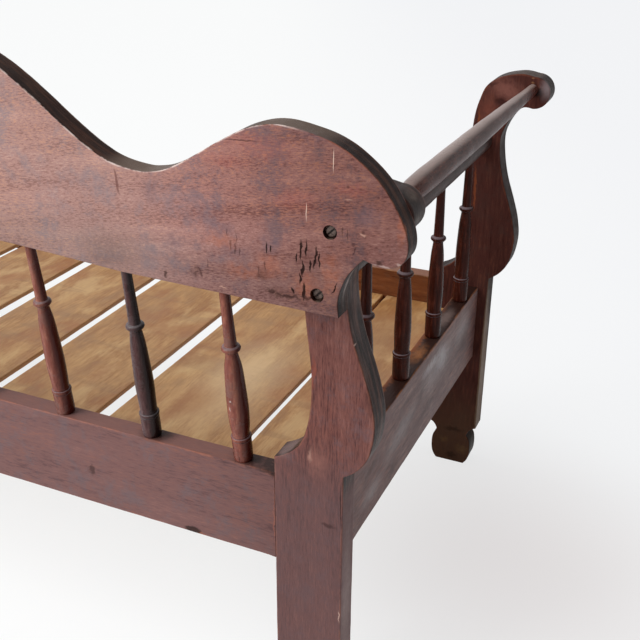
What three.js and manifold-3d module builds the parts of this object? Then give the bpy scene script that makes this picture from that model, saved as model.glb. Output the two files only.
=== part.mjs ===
// A wooden porch settee: four posts sawn to one scrolled outline, a humped crest rail,
// two rows of turned spindles, round arm bars and a seat of loose boards.
// Millimetres, +Z up. The settee runs along X and the sitter faces -Y, so the sitter's right is -X.
// The origin is on the floor, under the middle of the outer box.

import * as THREE from 'three';
import { mergeVertices } from 'three/addons/utils/BufferGeometryUtils.js';
import Module from 'manifold-3d';

const wasm = await Module();
wasm.setup();

// Frame
const legSpan = 1439.8; // outer face of the right legs to the outer face of the left legs
const frameDepth = 605; // rear face of the rear posts to the front face of the front posts
const railTop = 324.3;
const gap = 0.3; // clearance round every tenon and under every seated face

// Posts
const legWidth = 80;
const postThick = 33.4;
const frontPostHeight = 652;
const rearPostRise = 6; // the rear posts stand this much taller
const shoulderHeight = 341; // where the square leg ends and the shaped upright starts
const footHeight = 72;
const scrollReach = 40.5; // the scroll's centre, out from the leg's outer face
const scrollRadius = 22;
const scrollDrop = 2.5; // the scroll's top below the post's

// Rails
const backRailThick = 24.6;
const backRailHeight = 114;
const frontRailThick = 25;
const frontRailHeight = 89;
const sideRailThick = 26;
const sideRailHeight = 120;
const sideRailInset = 14.8;
const tenonThick = 10;
const tenonShoulder = 14;
const railTenonLength = 30;
const sideTenonLength = 20;

// Crest rail
const crestThick = 25.1;
const crestDrop = 115.6; // the crest's underside below the front posts' top
const crestEndHeight = 175.1; // underside to the top of an end hump
const crestHumpHeight = 249.6; // underside to the top of the middle hump
const crestOverhang = 67;
const crestValleyInset = 210;
const archInset = 240; // the underside's arch starts so far in from the leg's outer face
const archLead = 4.4; // the underside's rise up to there
const archRise = 16;

// Arms
const armBarRadius = 12;
const armBarEndRadius = 7.6;
const armBarLift = 7.5; // the bar's axis above the scroll's centre
const armSocketDepth = 16;
const spindleBarRadius = 15;
const spindleBarDrop = 99; // the bar's axis below the front posts' top
const spindleBarTenonRadius = 9;

// Turned spindles
const backSpindleCount = 11;
const backSpindleInset = 123.4; // first spindle in from the leg's outer face
const sideSpindleCount = 4;
const sideSpindleSetback = 124.5; // first spindle forward of the rear posts' rear face
const sideSpindlePitch = 130.2;
const spindleRadius = 11.6; // at the collar
const shaftRadius = 5.4;
const pegRadius = 4.6;
const pegDepth = 20;
const shaftDepth = 13;

// Seat
const seatDrop = 44.3; // seat boards below the rails' top edge
const slatThick = 7;
const slatGap = 27.5; // the widest gap between two boards
const slatEndGap = 0.8;
const ledgerThick = 20;
const ledgerHeight = 28;
const ledgerEndGap = 4;
const ledgerScrewCount = 4;

// Screws
const screwHeadRadius = 4.8;
const screwHeadHeight = 3;
const screwShankRadius = 2.2;
const crestScrewLength = 34;
const ledgerScrewLength = 34;
const slotWidth = 1.3;
const slotDepth = 1.4;
const crestBoreRadius = 6.1;
const crestBoreDepth = 6;
const ledgerBoreDepth = 3.4;

// Outline of half a foot, in from the leg's edge and up from the floor:
// a hollow under the square leg, then the bulb it stands on.
const footHollowShares = [[0, 1], [0.085, 0.955], [0.15, 0.87], [0.185, 0.76]];
const footBulbShares = [[0.185, 0.76], [0.115, 0.63], [0.09, 0.45], [0.1, 0.24], [0.14, 0.1], [0.205, 0]];

// Outline of a shaped upright, in from the leg's outer face and up from the shoulder.
const uprightOuterShares = [
  [0, 0], [-0.19, 0.038], [-0.34, 0.1], [-0.406, 0.202], [-0.363, 0.293], [-0.25, 0.391],
  [-0.1, 0.502], [-0.01, 0.612], [0.01, 0.697], [-0.05, 0.754], [-0.175, 0.811], [-0.337, 0.852],
];
const uprightInnerShares = [
  [-0.31, 1], [-0.125, 0.995], [0.075, 0.981], [0.24, 0.958], [0.36, 0.925], [0.43, 0.88],
  [0.494, 0.821], [0.529, 0.75], [0.55, 0.662], [0.548, 0.581], [0.513, 0.49], [0.47, 0.393],
  [0.458, 0.321], [0.475, 0.231], [0.525, 0.159], [0.606, 0.097], [0.738, 0.055], [0.875, 0.029], [1, 0.013],
];

// Outline of the crest rail's end, in from the lobe's tip and up from the underside:
// the hollow over the post's neck, then the lobe, the end hump and the valley.
const crestHollowShares = [[0.233, 0], [0.237, 0.089], [0.226, 0.169], [0.2, 0.26], [0.15, 0.355]];
const crestEndShares = [
  [0.15, 0.355], [0.0975, 0.331], [0.0505, 0.336], [0.0144, 0.372], [0, 0.4375], [0.009, 0.529],
  [0.04, 0.6345], [0.09, 0.7515], [0.155, 0.846], [0.231, 0.923], [0.321, 0.971], [0.451, 1],
  [0.56, 0.963], [0.668, 0.874], [0.776, 0.769], [0.874, 0.686], [0.939, 0.657], [1, 0.6505],
];
const valleyHeightShare = 0.6505;

// The middle hump, from the valley to the middle of the crest and from the valley's floor to the hump's top.
const crestHumpShares = [
  [0.056, 0.035], [0.102, 0.116], [0.155, 0.248], [0.226, 0.447], [0.304, 0.639],
  [0.402, 0.794], [0.53, 0.904], [0.706, 0.966], [1, 1],
];

// Places of the two screws at each end of the crest: across the leg, up from the underside.
const crestScrewShares = [[0.0875, 0.475], [0.2425, 0.11]];

// Board widths of the random-width seat, as shares of all the boards side by side.
const slatWidthShares = [0.1009, 0.1497, 0.1257, 0.1069, 0.1147, 0.0924, 0.1163, 0.1023, 0.0911];
const slatGapShares = [0.375, 0.749, 0.651, 1, 0.55, 0.8, 0.45, 0.7]; // each gap beside the widest

// Turned shape of a spindle over its clear height: radius, height.
const footShares = [[0.88, 0], [0.95, 0.02]];
const balusterShares = [[0.91, 0.3], [0.86, 0.44], [0.75, 0.56], [0.57, 0.647]];
const ringShares = [[0.79, 0.655], [0.885, 0.672], [0.79, 0.69], [0.57, 0.701]];
const collarShares = [[0.93, -0.016], [1, -0.002], [0.84, 0.018]]; // height about the collar's own
const backCollarShare = 0.145;
const sideCollarShare = 0.168;

// An arm bar's swelling: place along it from the rear, share of the swelling there.
const armBarSwellShares = [
  [0, 0], [0.03, 0.55], [0.07, 0.93], [0.15, 1], [0.3, 1], [0.5, 0.87],
  [0.68, 0.6], [0.8, 0.33], [0.87, 0.14], [0.94, 0.04], [1, 0],
];

const screwRimShare = 0.86; // a head's rounded face beside its full radius

const turnSides = 10;
const barSides = 12;
const screwSides = 8;
const outlineSteps = 2;
const scrollSteps = 10;
const archSteps = 16;
const quarterTurn = Math.PI / 2;

// Materials
const stainedWood = { color: 0x6b4a43, roughness: 0.5, metalness: 0 };
const seatWood = { color: 0xb08c64, roughness: 0.65, metalness: 0 };
const steel = { color: 0x6a665f, roughness: 0.45, metalness: 0.9 };

// Places that follow from the sizes
const rearPostHeight = frontPostHeight + rearPostRise;
const spindleBarHeight = frontPostHeight - spindleBarDrop;
const crestBottom = frontPostHeight - crestDrop;
const rearY = (frameDepth - gap - crestThick) / 2; // rear face of the rear posts
const frontY = rearY - frameDepth;
const backRailMidY = rearY - backRailThick / 2;
const frontRailMidY = frontY + frontRailThick / 2;
const crestMidY = rearY + gap + crestThick / 2;
const sideRailMid = sideRailInset + sideRailThick / 2;
const seatTop = railTop - seatDrop;
const backLean = (crestMidY - backRailMidY) / (crestBottom - railTop); // along Y for each unit of rise
const sides = { right: -1, left: 1 };

// X of a place that lies so far in from the outer face of one end's legs.
function endX(side, inset) {
  return side * (legSpan / 2 - inset);
}

// A closed manifold solid from a geometry.
function solid(geometry) {
  geometry.deleteAttribute('normal');
  geometry.deleteAttribute('uv');
  const merged = mergeVertices(geometry);
  const corners = merged.index.array;
  const triVerts = [];
  for (let i = 0; i < corners.length; i += 3) {
    const [a, b, c] = corners.slice(i, i + 3);
    if (a !== b && b !== c && c !== a) triVerts.push(a, b, c);
  }
  const vertProperties = new Float32Array(merged.attributes.position.array);
  const mesh = new wasm.Mesh({ numProp: 3, vertProperties, triVerts: new Uint32Array(triVerts) });
  return new wasm.Manifold(mesh);
}

// A rectangular block between two places on each axis, grown on every face to make a mortise.
function block(x, y, z, grow = 0) {
  const spans = [x, y, z];
  const geometry = new THREE.BoxGeometry(...spans.map(([from, to]) => Math.abs(to - from) + 2 * grow));
  geometry.translate(...spans.map(([from, to]) => (from + to) / 2));
  return solid(geometry);
}

// A board sawn to an outline in X and Z, with its rear face at one Y.
function board(outline, thick, rearFace) {
  const shape = new THREE.Shape(outline);
  const geometry = new THREE.ExtrudeGeometry(shape, { depth: thick, bevelEnabled: false });
  geometry.rotateX(quarterTurn);
  geometry.translate(0, rearFace, 0);
  return solid(geometry);
}

// A turned piece: a profile of [radius, distance along] spun about the line from one point towards another.
function turned(profile, from, towards, sideCount) {
  const points = profile.map(([radius, along]) => new THREE.Vector2(radius, along));
  const closed = [new THREE.Vector2(0, points[0].y), ...points, new THREE.Vector2(0, points.at(-1).y)];
  const geometry = new THREE.LatheGeometry(closed, sideCount);
  geometry.rotateX(quarterTurn);
  const direction = towards.clone().sub(from).normalize();
  const turn = new THREE.Quaternion().setFromUnitVectors(new THREE.Vector3(0, 0, 1), direction);
  geometry.applyQuaternion(turn);
  geometry.translate(from.x, from.y, from.z);
  return solid(geometry);
}

// A plain round hole or peg from one point, so deep along the line towards another.
function rod(radius, from, towards, start, depth, sideCount) {
  return turned([[radius, start], [radius, depth]], from, towards, sideCount);
}

function smooth(points) {
  const curve = new THREE.SplineCurve(points.map(([x, z]) => new THREE.Vector2(x, z)));
  return curve.getPoints(outlineSteps * (points.length - 1)).map(({ x, y }) => [x, y]);
}

// Outline of a post, in from the leg's outer face and up from the floor.
function postOutline(height) {
  const foot = (across, side) => ([inward, up]) => [across + side * inward * legWidth, up * footHeight];
  const upright = ([inward, up]) => [inward * legWidth, shoulderHeight + up * (height - shoulderHeight)];
  const scrollHeight = height - scrollDrop - scrollRadius;
  const scroll = [];
  for (let i = 0; i <= scrollSteps; i += 1) {
    const angle = -quarterTurn - (i / scrollSteps) * 2 * quarterTurn;
    const across = scrollRadius * Math.cos(angle) - scrollReach;
    scroll.push([across, scrollHeight + scrollRadius * Math.sin(angle)]);
  }
  const halfFoot = [...smooth(footHollowShares), ...smooth(footBulbShares).slice(1)];
  const outerFoot = halfFoot.map(foot(0, 1));
  const innerFoot = halfFoot.map(foot(legWidth, -1));
  return [
    ...outerFoot.reverse(),
    ...smooth([...uprightOuterShares.map(upright), scroll[0]]),
    ...scroll.slice(1),
    ...smooth([scroll.at(-1), ...uprightInnerShares.map(upright)]).slice(1),
    ...innerFoot,
  ];
}

// Tenons run the whole way between two posts, so one block serves both ends and both mortises.
function railTenon(midY, height, grow) {
  const inset = legWidth - railTenonLength;
  const y = [midY - tenonThick / 2, midY + tenonThick / 2];
  const z = [railTop - height + tenonShoulder, railTop - tenonShoulder];
  return block([endX(-1, inset), endX(1, inset)], y, z, grow);
}

function sideTenon(side, grow) {
  const middle = endX(side, sideRailMid);
  const y = [frontY + postThick - sideTenonLength, rearY - postThick + sideTenonLength];
  const z = [railTop - sideRailHeight + tenonShoulder, railTop - tenonShoulder];
  return block([middle - tenonThick / 2, middle + tenonThick / 2], y, z, grow);
}

// The round bar between the two scrolls of one arm, and the shape it leaves in both of them.
function armBarEnds(side) {
  const x = endX(side, -scrollReach);
  const drop = scrollDrop + scrollRadius - armBarLift;
  const rear = new THREE.Vector3(x, rearY - postThick, rearPostHeight - drop);
  const front = new THREE.Vector3(x, frontY + postThick, frontPostHeight - drop);
  return { rear, front, length: rear.distanceTo(front) };
}

function armBar(side) {
  const { rear, front, length } = armBarEnds(side);
  const swell = armBarRadius - armBarEndRadius;
  const body = armBarSwellShares.map(([along, share]) => [armBarEndRadius + swell * share, length * along]);
  const profile = [[armBarEndRadius, -armSocketDepth], ...body, [armBarEndRadius, length + armSocketDepth]];
  return turned(profile, rear, front, barSides);
}

function armBarSockets(side) {
  const { rear, front, length } = armBarEnds(side);
  const depth = armSocketDepth + gap;
  return rod(armBarEndRadius + gap, rear, front, -depth, length + depth, barSides);
}

// The thicker bar that takes the side spindles, with a round tenon at each end.
function spindleBarLine(side) {
  const x = endX(side, sideRailMid);
  const rear = new THREE.Vector3(x, rearY - postThick, spindleBarHeight);
  const front = new THREE.Vector3(x, frontY + postThick, spindleBarHeight);
  return { rear, front, length: rear.distanceTo(front) };
}

function spindleBarTenon(side, grow) {
  const { rear, front, length } = spindleBarLine(side);
  const depth = sideTenonLength + grow;
  return rod(spindleBarTenonRadius + grow, rear, front, -depth, length + depth, barSides);
}

function spindleBar(side) {
  const { rear, front, length } = spindleBarLine(side);
  let body = rod(spindleBarRadius, rear, front, gap, length - gap, barSides).add(spindleBarTenon(side, 0));
  for (const { bar } of sideSpindlePlaces(side)) body = body.subtract(bar);
  return body;
}

// Spindles: the turned piece, and the two holes it stands in.
function spindle(base, top, collarShare) {
  const clear = base.distanceTo(top);
  const shares = [
    ...footShares,
    ...collarShares.map(([radius, about]) => [radius, collarShare + about]),
    ...balusterShares,
    ...ringShares,
  ];
  const profile = shares.map(([radius, up]) => [radius * spindleRadius, up * clear]);
  profile[0][1] = -spindleRadius * Math.abs(backLean); // below the rail's top, to be cut off level with it
  profile.push([shaftRadius, clear], [shaftRadius, clear + shaftDepth]);
  const around = [base.x, base.y].map((middle) => [middle - 2 * spindleRadius, middle + 2 * spindleRadius]);
  const below = block(...around, [railTop - 2 * spindleRadius, railTop + gap]);
  const peg = rod(pegRadius, base, top, -pegDepth, spindleRadius, turnSides);
  return turned(profile, base, top, turnSides).subtract(below).add(peg);
}

function spindleHoles(base, top) {
  const clear = base.distanceTo(top);
  return {
    rail: rod(pegRadius + gap, base, top, -pegDepth - gap, spindleRadius, turnSides),
    bar: rod(shaftRadius + gap, base, top, clear - spindleRadius, clear + shaftDepth + gap, turnSides),
  };
}

function sideSpindlePlaces(side) {
  const places = [];
  for (let i = 0; i < sideSpindleCount; i += 1) {
    const x = endX(side, sideRailMid);
    const y = rearY - sideSpindleSetback - i * sideSpindlePitch;
    const base = new THREE.Vector3(x, y, railTop);
    const top = new THREE.Vector3(x, y, spindleBarHeight - spindleBarRadius);
    places.push({ base, top, ...spindleHoles(base, top) });
  }
  return places;
}

function backSpindlePlaces() {
  const places = [];
  const pitch = (legSpan - 2 * backSpindleInset) / (backSpindleCount - 1);
  for (let i = 0; i < backSpindleCount; i += 1) {
    const x = endX(-1, backSpindleInset + i * pitch);
    const rise = crestUndersideAt(x) - railTop;
    const base = new THREE.Vector3(x, backRailMidY, railTop);
    const top = new THREE.Vector3(x, backRailMidY + rise * backLean, railTop + rise);
    places.push({ base, top, ...spindleHoles(base, top) });
  }
  return places;
}

// The crest's underside climbs a little from each end, then in a shallow arch.
function crestUndersideAt(x) {
  const inset = Math.max(endX(1, 0) - Math.abs(x), 0);
  const lead = archLead * Math.min(inset / archInset, 1);
  const out = Math.min(Math.abs(x) / endX(1, archInset), 1);
  return crestBottom + lead + archRise * (1 - out * out);
}

function crestOutline() {
  const endLength = crestOverhang + crestValleyInset;
  const fromEnd = ([along, up]) => [
    endX(-1, along * endLength - crestOverhang),
    crestBottom + up * crestEndHeight,
  ];
  const valleyHeight = valleyHeightShare * crestEndHeight;
  const fromValley = ([along, up]) => [
    endX(-1, crestValleyInset) * (1 - along),
    crestBottom + valleyHeight + up * (crestHumpHeight - valleyHeight),
  ];
  const mirrored = (points) => points.map(([x, z]) => [-x, z]).reverse();
  const hollow = smooth(crestHollowShares.map(fromEnd));
  const half = [...crestEndShares.map(fromEnd), ...crestHumpShares.map(fromValley)];
  const top = smooth([...half, ...mirrored(half).slice(1)]);
  const underside = [];
  for (let i = 0; i <= archSteps; i += 1) {
    const x = endX(1, archInset) * (1 - (2 * i) / archSteps);
    underside.push([x, crestUndersideAt(x)]);
  }
  return [...hollow, ...top.slice(1), ...mirrored(hollow).slice(1), ...underside];
}

// Screws: each has its axis along Y, with its slotted head at one face.
function screw(x, headY, z, length, inward) {
  const head = new THREE.Vector3(x, headY, z);
  const towards = new THREE.Vector3(x, headY + inward, z);
  const rim = screwHeadRadius * screwRimShare;
  const profile = [
    [rim, 0],
    [screwHeadRadius, screwHeadHeight / 3],
    [screwHeadRadius, screwHeadHeight],
    [screwShankRadius, screwHeadHeight],
    [screwShankRadius, length - screwHeadRadius],
    [screwShankRadius / 4, length],
  ];
  const slot = new THREE.BoxGeometry(3 * screwHeadRadius, 2 * slotDepth, slotWidth);
  slot.rotateY(quarterTurn / 2);
  slot.translate(x, headY, z);
  return turned(profile, head, towards, screwSides).subtract(solid(slot));
}

function screwHole(x, faceY, z, boreRadius, boreDepth, length, inward) {
  const face = new THREE.Vector3(x, faceY, z);
  const towards = new THREE.Vector3(x, faceY + inward, z);
  const bore = rod(boreRadius, face, towards, -boreDepth, boreDepth, turnSides);
  return bore.add(rod(screwShankRadius + gap, face, towards, 0, length, screwSides));
}

function crestScrewPlaces(side) {
  const rearFace = rearY + gap + crestThick;
  const headY = rearFace - crestBoreDepth + gap + screwHeadHeight;
  return crestScrewShares.map(([across, up]) => {
    const x = endX(side, across * legWidth);
    const z = crestBottom + up * crestEndHeight;
    const depth = crestBoreDepth - screwHeadHeight + crestScrewLength;
    return { x, z, headY, hole: screwHole(x, rearFace, z, crestBoreRadius, crestBoreDepth, depth, -1) };
  });
}

// Ledgers: strips on the inner faces of the long rails, which carry the seat boards.
const ledgers = {
  back: { railFaceY: rearY - backRailThick, inward: 1 },
  front: { railFaceY: frontY + frontRailThick, inward: -1 },
};

function ledgerScrewPlaces({ railFaceY, inward }) {
  const places = [];
  const faceY = railFaceY - inward * (gap + ledgerThick);
  const headY = faceY + inward * (ledgerBoreDepth - gap - screwHeadHeight);
  const z = seatTop - slatThick - gap - ledgerHeight / 2;
  for (let i = 0; i < ledgerScrewCount; i += 1) {
    const x = endX(-1, legWidth) * (1 - (2 * i + 1) / ledgerScrewCount);
    const depth = ledgerBoreDepth - screwHeadHeight + ledgerScrewLength;
    const hole = screwHole(x, faceY, z, screwHeadRadius + gap, ledgerBoreDepth, depth, inward);
    places.push({ x, z, headY, hole });
  }
  return places;
}

function ledger(place) {
  const { railFaceY, inward } = place;
  const inset = legWidth + ledgerEndGap;
  const top = seatTop - slatThick - gap;
  const y = [railFaceY - inward * gap, railFaceY - inward * (gap + ledgerThick)];
  let body = block([endX(-1, inset), endX(1, inset)], y, [top - ledgerHeight, top]);
  for (const { hole } of ledgerScrewPlaces(place)) body = body.subtract(hole);
  return body;
}

// Long rail: a board between two posts, with a tenon at each end.
function longRail(rearFace, thick, height, cuts) {
  const inset = legWidth + gap;
  const z = [railTop - height, railTop];
  let body = block([endX(-1, inset), endX(1, inset)], [rearFace - thick, rearFace], z);
  body = body.add(railTenon(rearFace - thick / 2, height, 0));
  for (const cut of cuts) body = body.subtract(cut);
  return body;
}

function sideRail(side) {
  const inner = sideRailInset + sideRailThick;
  const y = [frontY + postThick + gap, rearY - postThick - gap];
  let body = block([endX(side, sideRailInset), endX(side, inner)], y, [railTop - sideRailHeight, railTop]);
  body = body.add(sideTenon(side, 0));
  for (const { rail } of sideSpindlePlaces(side)) body = body.subtract(rail);
  return body;
}

function post(side, height, rearFace, cuts) {
  const outline = postOutline(height).map(([inset, z]) => new THREE.Vector2(endX(side, inset), z));
  let body = board(outline, postThick, rearFace);
  for (const cut of [sideTenon(side, gap), armBarSockets(side), spindleBarTenon(side, gap), ...cuts]) {
    body = body.subtract(cut);
  }
  return body;
}

function crestRail() {
  const outline = crestOutline().map(([x, z]) => new THREE.Vector2(x, z));
  let body = board(outline, crestThick, rearY + gap + crestThick);
  for (const side of Object.values(sides)) {
    for (const { hole } of crestScrewPlaces(side)) body = body.subtract(hole);
  }
  for (const { bar } of backSpindlePlaces()) body = body.subtract(bar);
  return body;
}

// Seat boards: random widths, run front to back, notched round the posts at both ends of the seat.
function slats() {
  const sideInset = sideRailInset + sideRailThick + slatEndGap;
  const gaps = slatGapShares.map((share) => share * slatGap);
  const clear = 2 * endX(1, sideInset) - gaps.reduce((sum, width) => sum + width, 0);
  const total = slatWidthShares.reduce((sum, share) => sum + share, 0);
  const y = [frontY + frontRailThick + slatEndGap, rearY - backRailThick - slatEndGap];
  const z = [seatTop - slatThick, seatTop];
  let x = endX(-1, sideInset);
  return slatWidthShares.map((share, i) => {
    const width = (clear * share) / total;
    let body = block([x, x + width], y, z);
    for (const side of Object.values(sides)) {
      const legX = [endX(side, 0), endX(side, legWidth)];
      body = body.subtract(block(legX, [rearY - postThick, rearY], z, slatEndGap));
      body = body.subtract(block(legX, [frontY, frontY + postThick], z, slatEndGap));
    }
    x += width + (gaps[i] ?? 0);
    return body;
  });
}

function meshOf(name, body, finish) {
  const { vertProperties, triVerts } = body.getMesh();
  const geometry = new THREE.BufferGeometry();
  geometry.setAttribute('position', new THREE.BufferAttribute(vertProperties, 3));
  geometry.setIndex(new THREE.BufferAttribute(triVerts, 1));
  const mesh = new THREE.Mesh(geometry, new THREE.MeshStandardMaterial({ ...finish, flatShading: true }));
  mesh.name = name;
  return mesh;
}

function buildFrame(settee) {
  const backCuts = backSpindlePlaces().map(({ rail }) => rail);
  const backScrewHoles = ledgerScrewPlaces(ledgers.back).map(({ hole }) => hole);
  const frontScrewHoles = ledgerScrewPlaces(ledgers.front).map(({ hole }) => hole);
  const backRail = longRail(rearY, backRailThick, backRailHeight, [...backCuts, ...backScrewHoles]);
  const frontRail = longRail(frontY + frontRailThick, frontRailThick, frontRailHeight, frontScrewHoles);
  settee.add(meshOf('back_rail', backRail, stainedWood));
  settee.add(meshOf('front_rail', frontRail, stainedWood));
  settee.add(meshOf('crest_rail', crestRail(), stainedWood));
  for (const [end, side] of Object.entries(sides)) {
    const screwHoles = crestScrewPlaces(side).map(({ hole }) => hole);
    const rearCuts = [railTenon(backRailMidY, backRailHeight, gap), ...screwHoles];
    const frontCuts = [railTenon(frontRailMidY, frontRailHeight, gap)];
    const frontPost = post(side, frontPostHeight, frontY + postThick, frontCuts);
    settee.add(meshOf(`rear_post_${end}`, post(side, rearPostHeight, rearY, rearCuts), stainedWood));
    settee.add(meshOf(`front_post_${end}`, frontPost, stainedWood));
    settee.add(meshOf(`side_rail_${end}`, sideRail(side), stainedWood));
    settee.add(meshOf(`arm_bar_${end}`, armBar(side), stainedWood));
    settee.add(meshOf(`spindle_bar_${end}`, spindleBar(side), stainedWood));
  }
}

function buildSpindles(settee) {
  backSpindlePlaces().forEach(({ base, top }, i) => {
    settee.add(meshOf(`back_spindle_${i + 1}`, spindle(base, top, backCollarShare), stainedWood));
  });
  for (const [end, side] of Object.entries(sides)) {
    sideSpindlePlaces(side).forEach(({ base, top }, i) => {
      settee.add(meshOf(`side_spindle_${end}_${i + 1}`, spindle(base, top, sideCollarShare), stainedWood));
    });
  }
}

function buildSeat(settee) {
  slats().forEach((body, i) => settee.add(meshOf(`seat_board_${i + 1}`, body, seatWood)));
  for (const [name, place] of Object.entries(ledgers)) {
    settee.add(meshOf(`${name}_ledger`, ledger(place), stainedWood));
    ledgerScrewPlaces(place).forEach(({ x, z, headY }, i) => {
      const body = screw(x, headY, z, ledgerScrewLength, place.inward);
      settee.add(meshOf(`${name}_ledger_screw_${i + 1}`, body, steel));
    });
  }
}

function buildCrestScrews(settee) {
  for (const [end, side] of Object.entries(sides)) {
    crestScrewPlaces(side).forEach(({ x, z, headY }, i) => {
      settee.add(meshOf(`crest_screw_${end}_${i + 1}`, screw(x, headY, z, crestScrewLength, -1), steel));
    });
  }
}

const settee = new THREE.Group();
buildFrame(settee);
buildSpindles(settee);
buildSeat(settee);
buildCrestScrews(settee);

export default settee;
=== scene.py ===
"""Looks of a stained porch settee: finer wooden pieces, procedural wood and steel, a pale stage and a camera.

Sizes are in millimetres, as in the CAD source, and turn into metres where a mesh is made.
"""

import math

import bmesh
import bpy
import numpy as np
from mathutils import Matrix, Vector, noise


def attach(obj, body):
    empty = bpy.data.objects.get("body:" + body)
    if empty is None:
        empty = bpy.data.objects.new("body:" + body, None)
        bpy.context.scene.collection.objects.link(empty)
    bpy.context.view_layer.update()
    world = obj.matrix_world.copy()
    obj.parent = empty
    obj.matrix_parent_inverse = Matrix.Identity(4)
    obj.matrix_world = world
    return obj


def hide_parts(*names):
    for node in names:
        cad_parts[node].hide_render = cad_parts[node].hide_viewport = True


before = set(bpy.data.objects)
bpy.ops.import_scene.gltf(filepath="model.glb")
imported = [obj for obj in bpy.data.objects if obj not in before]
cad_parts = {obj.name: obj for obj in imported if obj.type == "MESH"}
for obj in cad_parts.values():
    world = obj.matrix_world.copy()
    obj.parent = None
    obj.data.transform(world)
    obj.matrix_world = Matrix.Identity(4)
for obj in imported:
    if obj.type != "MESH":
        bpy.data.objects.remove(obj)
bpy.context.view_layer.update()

MM = 0.001
GAP = 0.3

# Sizes of the CAD model
LEG_SPAN = 1439.8
DEPTH = 605
RAIL_TOP = 324.3
LEG_WIDTH = 80
POST_THICK = 33.4
FRONT_POST_HEIGHT = 652
REAR_POST_HEIGHT = 658
SHOULDER = 341
FOOT_HEIGHT = 72
SCROLL_REACH = 40.5
SCROLL_RADIUS = 22
SCROLL_DROP = 2.5
BACK_RAIL_THICK = 24.6
BACK_RAIL_HEIGHT = 114
FRONT_RAIL_THICK = 25
FRONT_RAIL_HEIGHT = 89
SIDE_RAIL_THICK = 26
SIDE_RAIL_HEIGHT = 120
SIDE_RAIL_INSET = 14.8
CREST_THICK = 25.1
CREST_BOTTOM = 536.4
CREST_END_HEIGHT = 175.1
CREST_HUMP_HEIGHT = 249.6
CREST_OVERHANG = 67
CREST_VALLEY_INSET = 210
ARCH_INSET = 240
ARCH_LEAD = 4.4
ARCH_RISE = 16
ARM_BAR_RADIUS = 12
ARM_BAR_END_RADIUS = 7.6
ARM_BAR_LIFT = 7.5
ARM_BAR_FALL = 3
ARM_BAR_INWARD = 2.5
SPINDLE_BAR_RADIUS = 15
SPINDLE_BAR_HEIGHT = 553
BACK_SPINDLES = 11
BACK_SPINDLE_INSET = 123.4
SIDE_SPINDLES = 4
SIDE_SPINDLE_SETBACK = 124.5
SIDE_SPINDLE_PITCH = 130.2
SPINDLE_RADIUS = 11.6
SEAT_DROP = 44.3
SLAT_THICK = 7
SLAT_GAP = 27.5
SLAT_END_GAP = 0.8
LEDGER_THICK = 20
LEDGER_HEIGHT = 28
LEDGER_END_GAP = 4
LEDGER_SCREWS = 4
LEDGER_BORE_DEPTH = 3.4
SCREW_HEAD_RADIUS = 4.8
CREST_HEAD_GROWTH = 0.7
SCREW_HEAD_HEIGHT = 3
SCREW_SHANK_RADIUS = 2.2
SCREW_LENGTH = 34
CREST_BORE_RADIUS = 6.9
CREST_BORE_DEPTH = 6
SLOT_WIDTH = 1.8
SLOT_DEPTH = 2.6
SLOT_TURN = 45

FOOT_HOLLOW = [(0, 1), (0.085, 0.955), (0.15, 0.87), (0.185, 0.76)]
FOOT_BULB = [(0.185, 0.76), (0.115, 0.63), (0.09, 0.45), (0.1, 0.24), (0.14, 0.1), (0.205, 0)]
UPRIGHT_OUTER = [
    (0, 0), (-0.19, 0.038), (-0.34, 0.1), (-0.406, 0.202), (-0.363, 0.293), (-0.25, 0.391),
    (-0.1, 0.502), (-0.01, 0.612), (0.01, 0.697), (-0.05, 0.754), (-0.175, 0.811), (-0.337, 0.852),
]
UPRIGHT_INNER = [
    (-0.31, 1), (-0.125, 0.995), (0.075, 0.981), (0.24, 0.958), (0.36, 0.925), (0.43, 0.88),
    (0.494, 0.821), (0.529, 0.75), (0.55, 0.662), (0.548, 0.581), (0.513, 0.49), (0.47, 0.393),
    (0.458, 0.321), (0.475, 0.231), (0.525, 0.159), (0.606, 0.097), (0.738, 0.055), (0.875, 0.029), (1, 0.013),
]
CREST_HOLLOW = [(0.233, 0), (0.237, 0.089), (0.226, 0.169), (0.2, 0.26), (0.15, 0.355)]
CREST_END = [
    (0.15, 0.355), (0.0975, 0.331), (0.0505, 0.336), (0.0144, 0.372), (0, 0.4375), (0.009, 0.529),
    (0.04, 0.6345), (0.09, 0.7515), (0.155, 0.846), (0.231, 0.923), (0.321, 0.971), (0.451, 1),
    (0.56, 0.963), (0.668, 0.874), (0.776, 0.769), (0.874, 0.686), (0.939, 0.657), (1, 0.6505),
]
VALLEY_HEIGHT = 0.6505
CREST_HUMP = [
    (0.056, 0.035), (0.102, 0.116), (0.155, 0.248), (0.226, 0.447), (0.304, 0.639),
    (0.402, 0.794), (0.53, 0.904), (0.706, 0.966), (1, 1),
]
CREST_SCREWS = [(0.0875, 0.475), (0.2425, 0.11)]
HEAD_PROFILE = [(0.55, 0), (0.82, 0.12), (0.94, 0.42), (1, 0.95)]
SLAT_WIDTHS = [0.1009, 0.1497, 0.1257, 0.1069, 0.1147, 0.0924, 0.1163, 0.1023, 0.0911]
SLAT_GAPS = [0.375, 0.749, 0.651, 1, 0.55, 0.8, 0.45, 0.7]
SLAT_TAPERS = [(0, 1.5), (-2.5, 1), (1.5, 3.5), (3.5, 3)] + [(0, 0)] * 5
ARM_BAR_SWELL = [
    (0, 0), (0.03, 0.55), (0.07, 0.93), (0.15, 1), (0.3, 1), (0.5, 0.87),
    (0.68, 0.6), (0.8, 0.33), (0.87, 0.14), (0.94, 0.04), (1, 0),
]
BACK_COLLAR = 0.145
DARK_SPINDLES = (1, 4, 6, 9)
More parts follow.
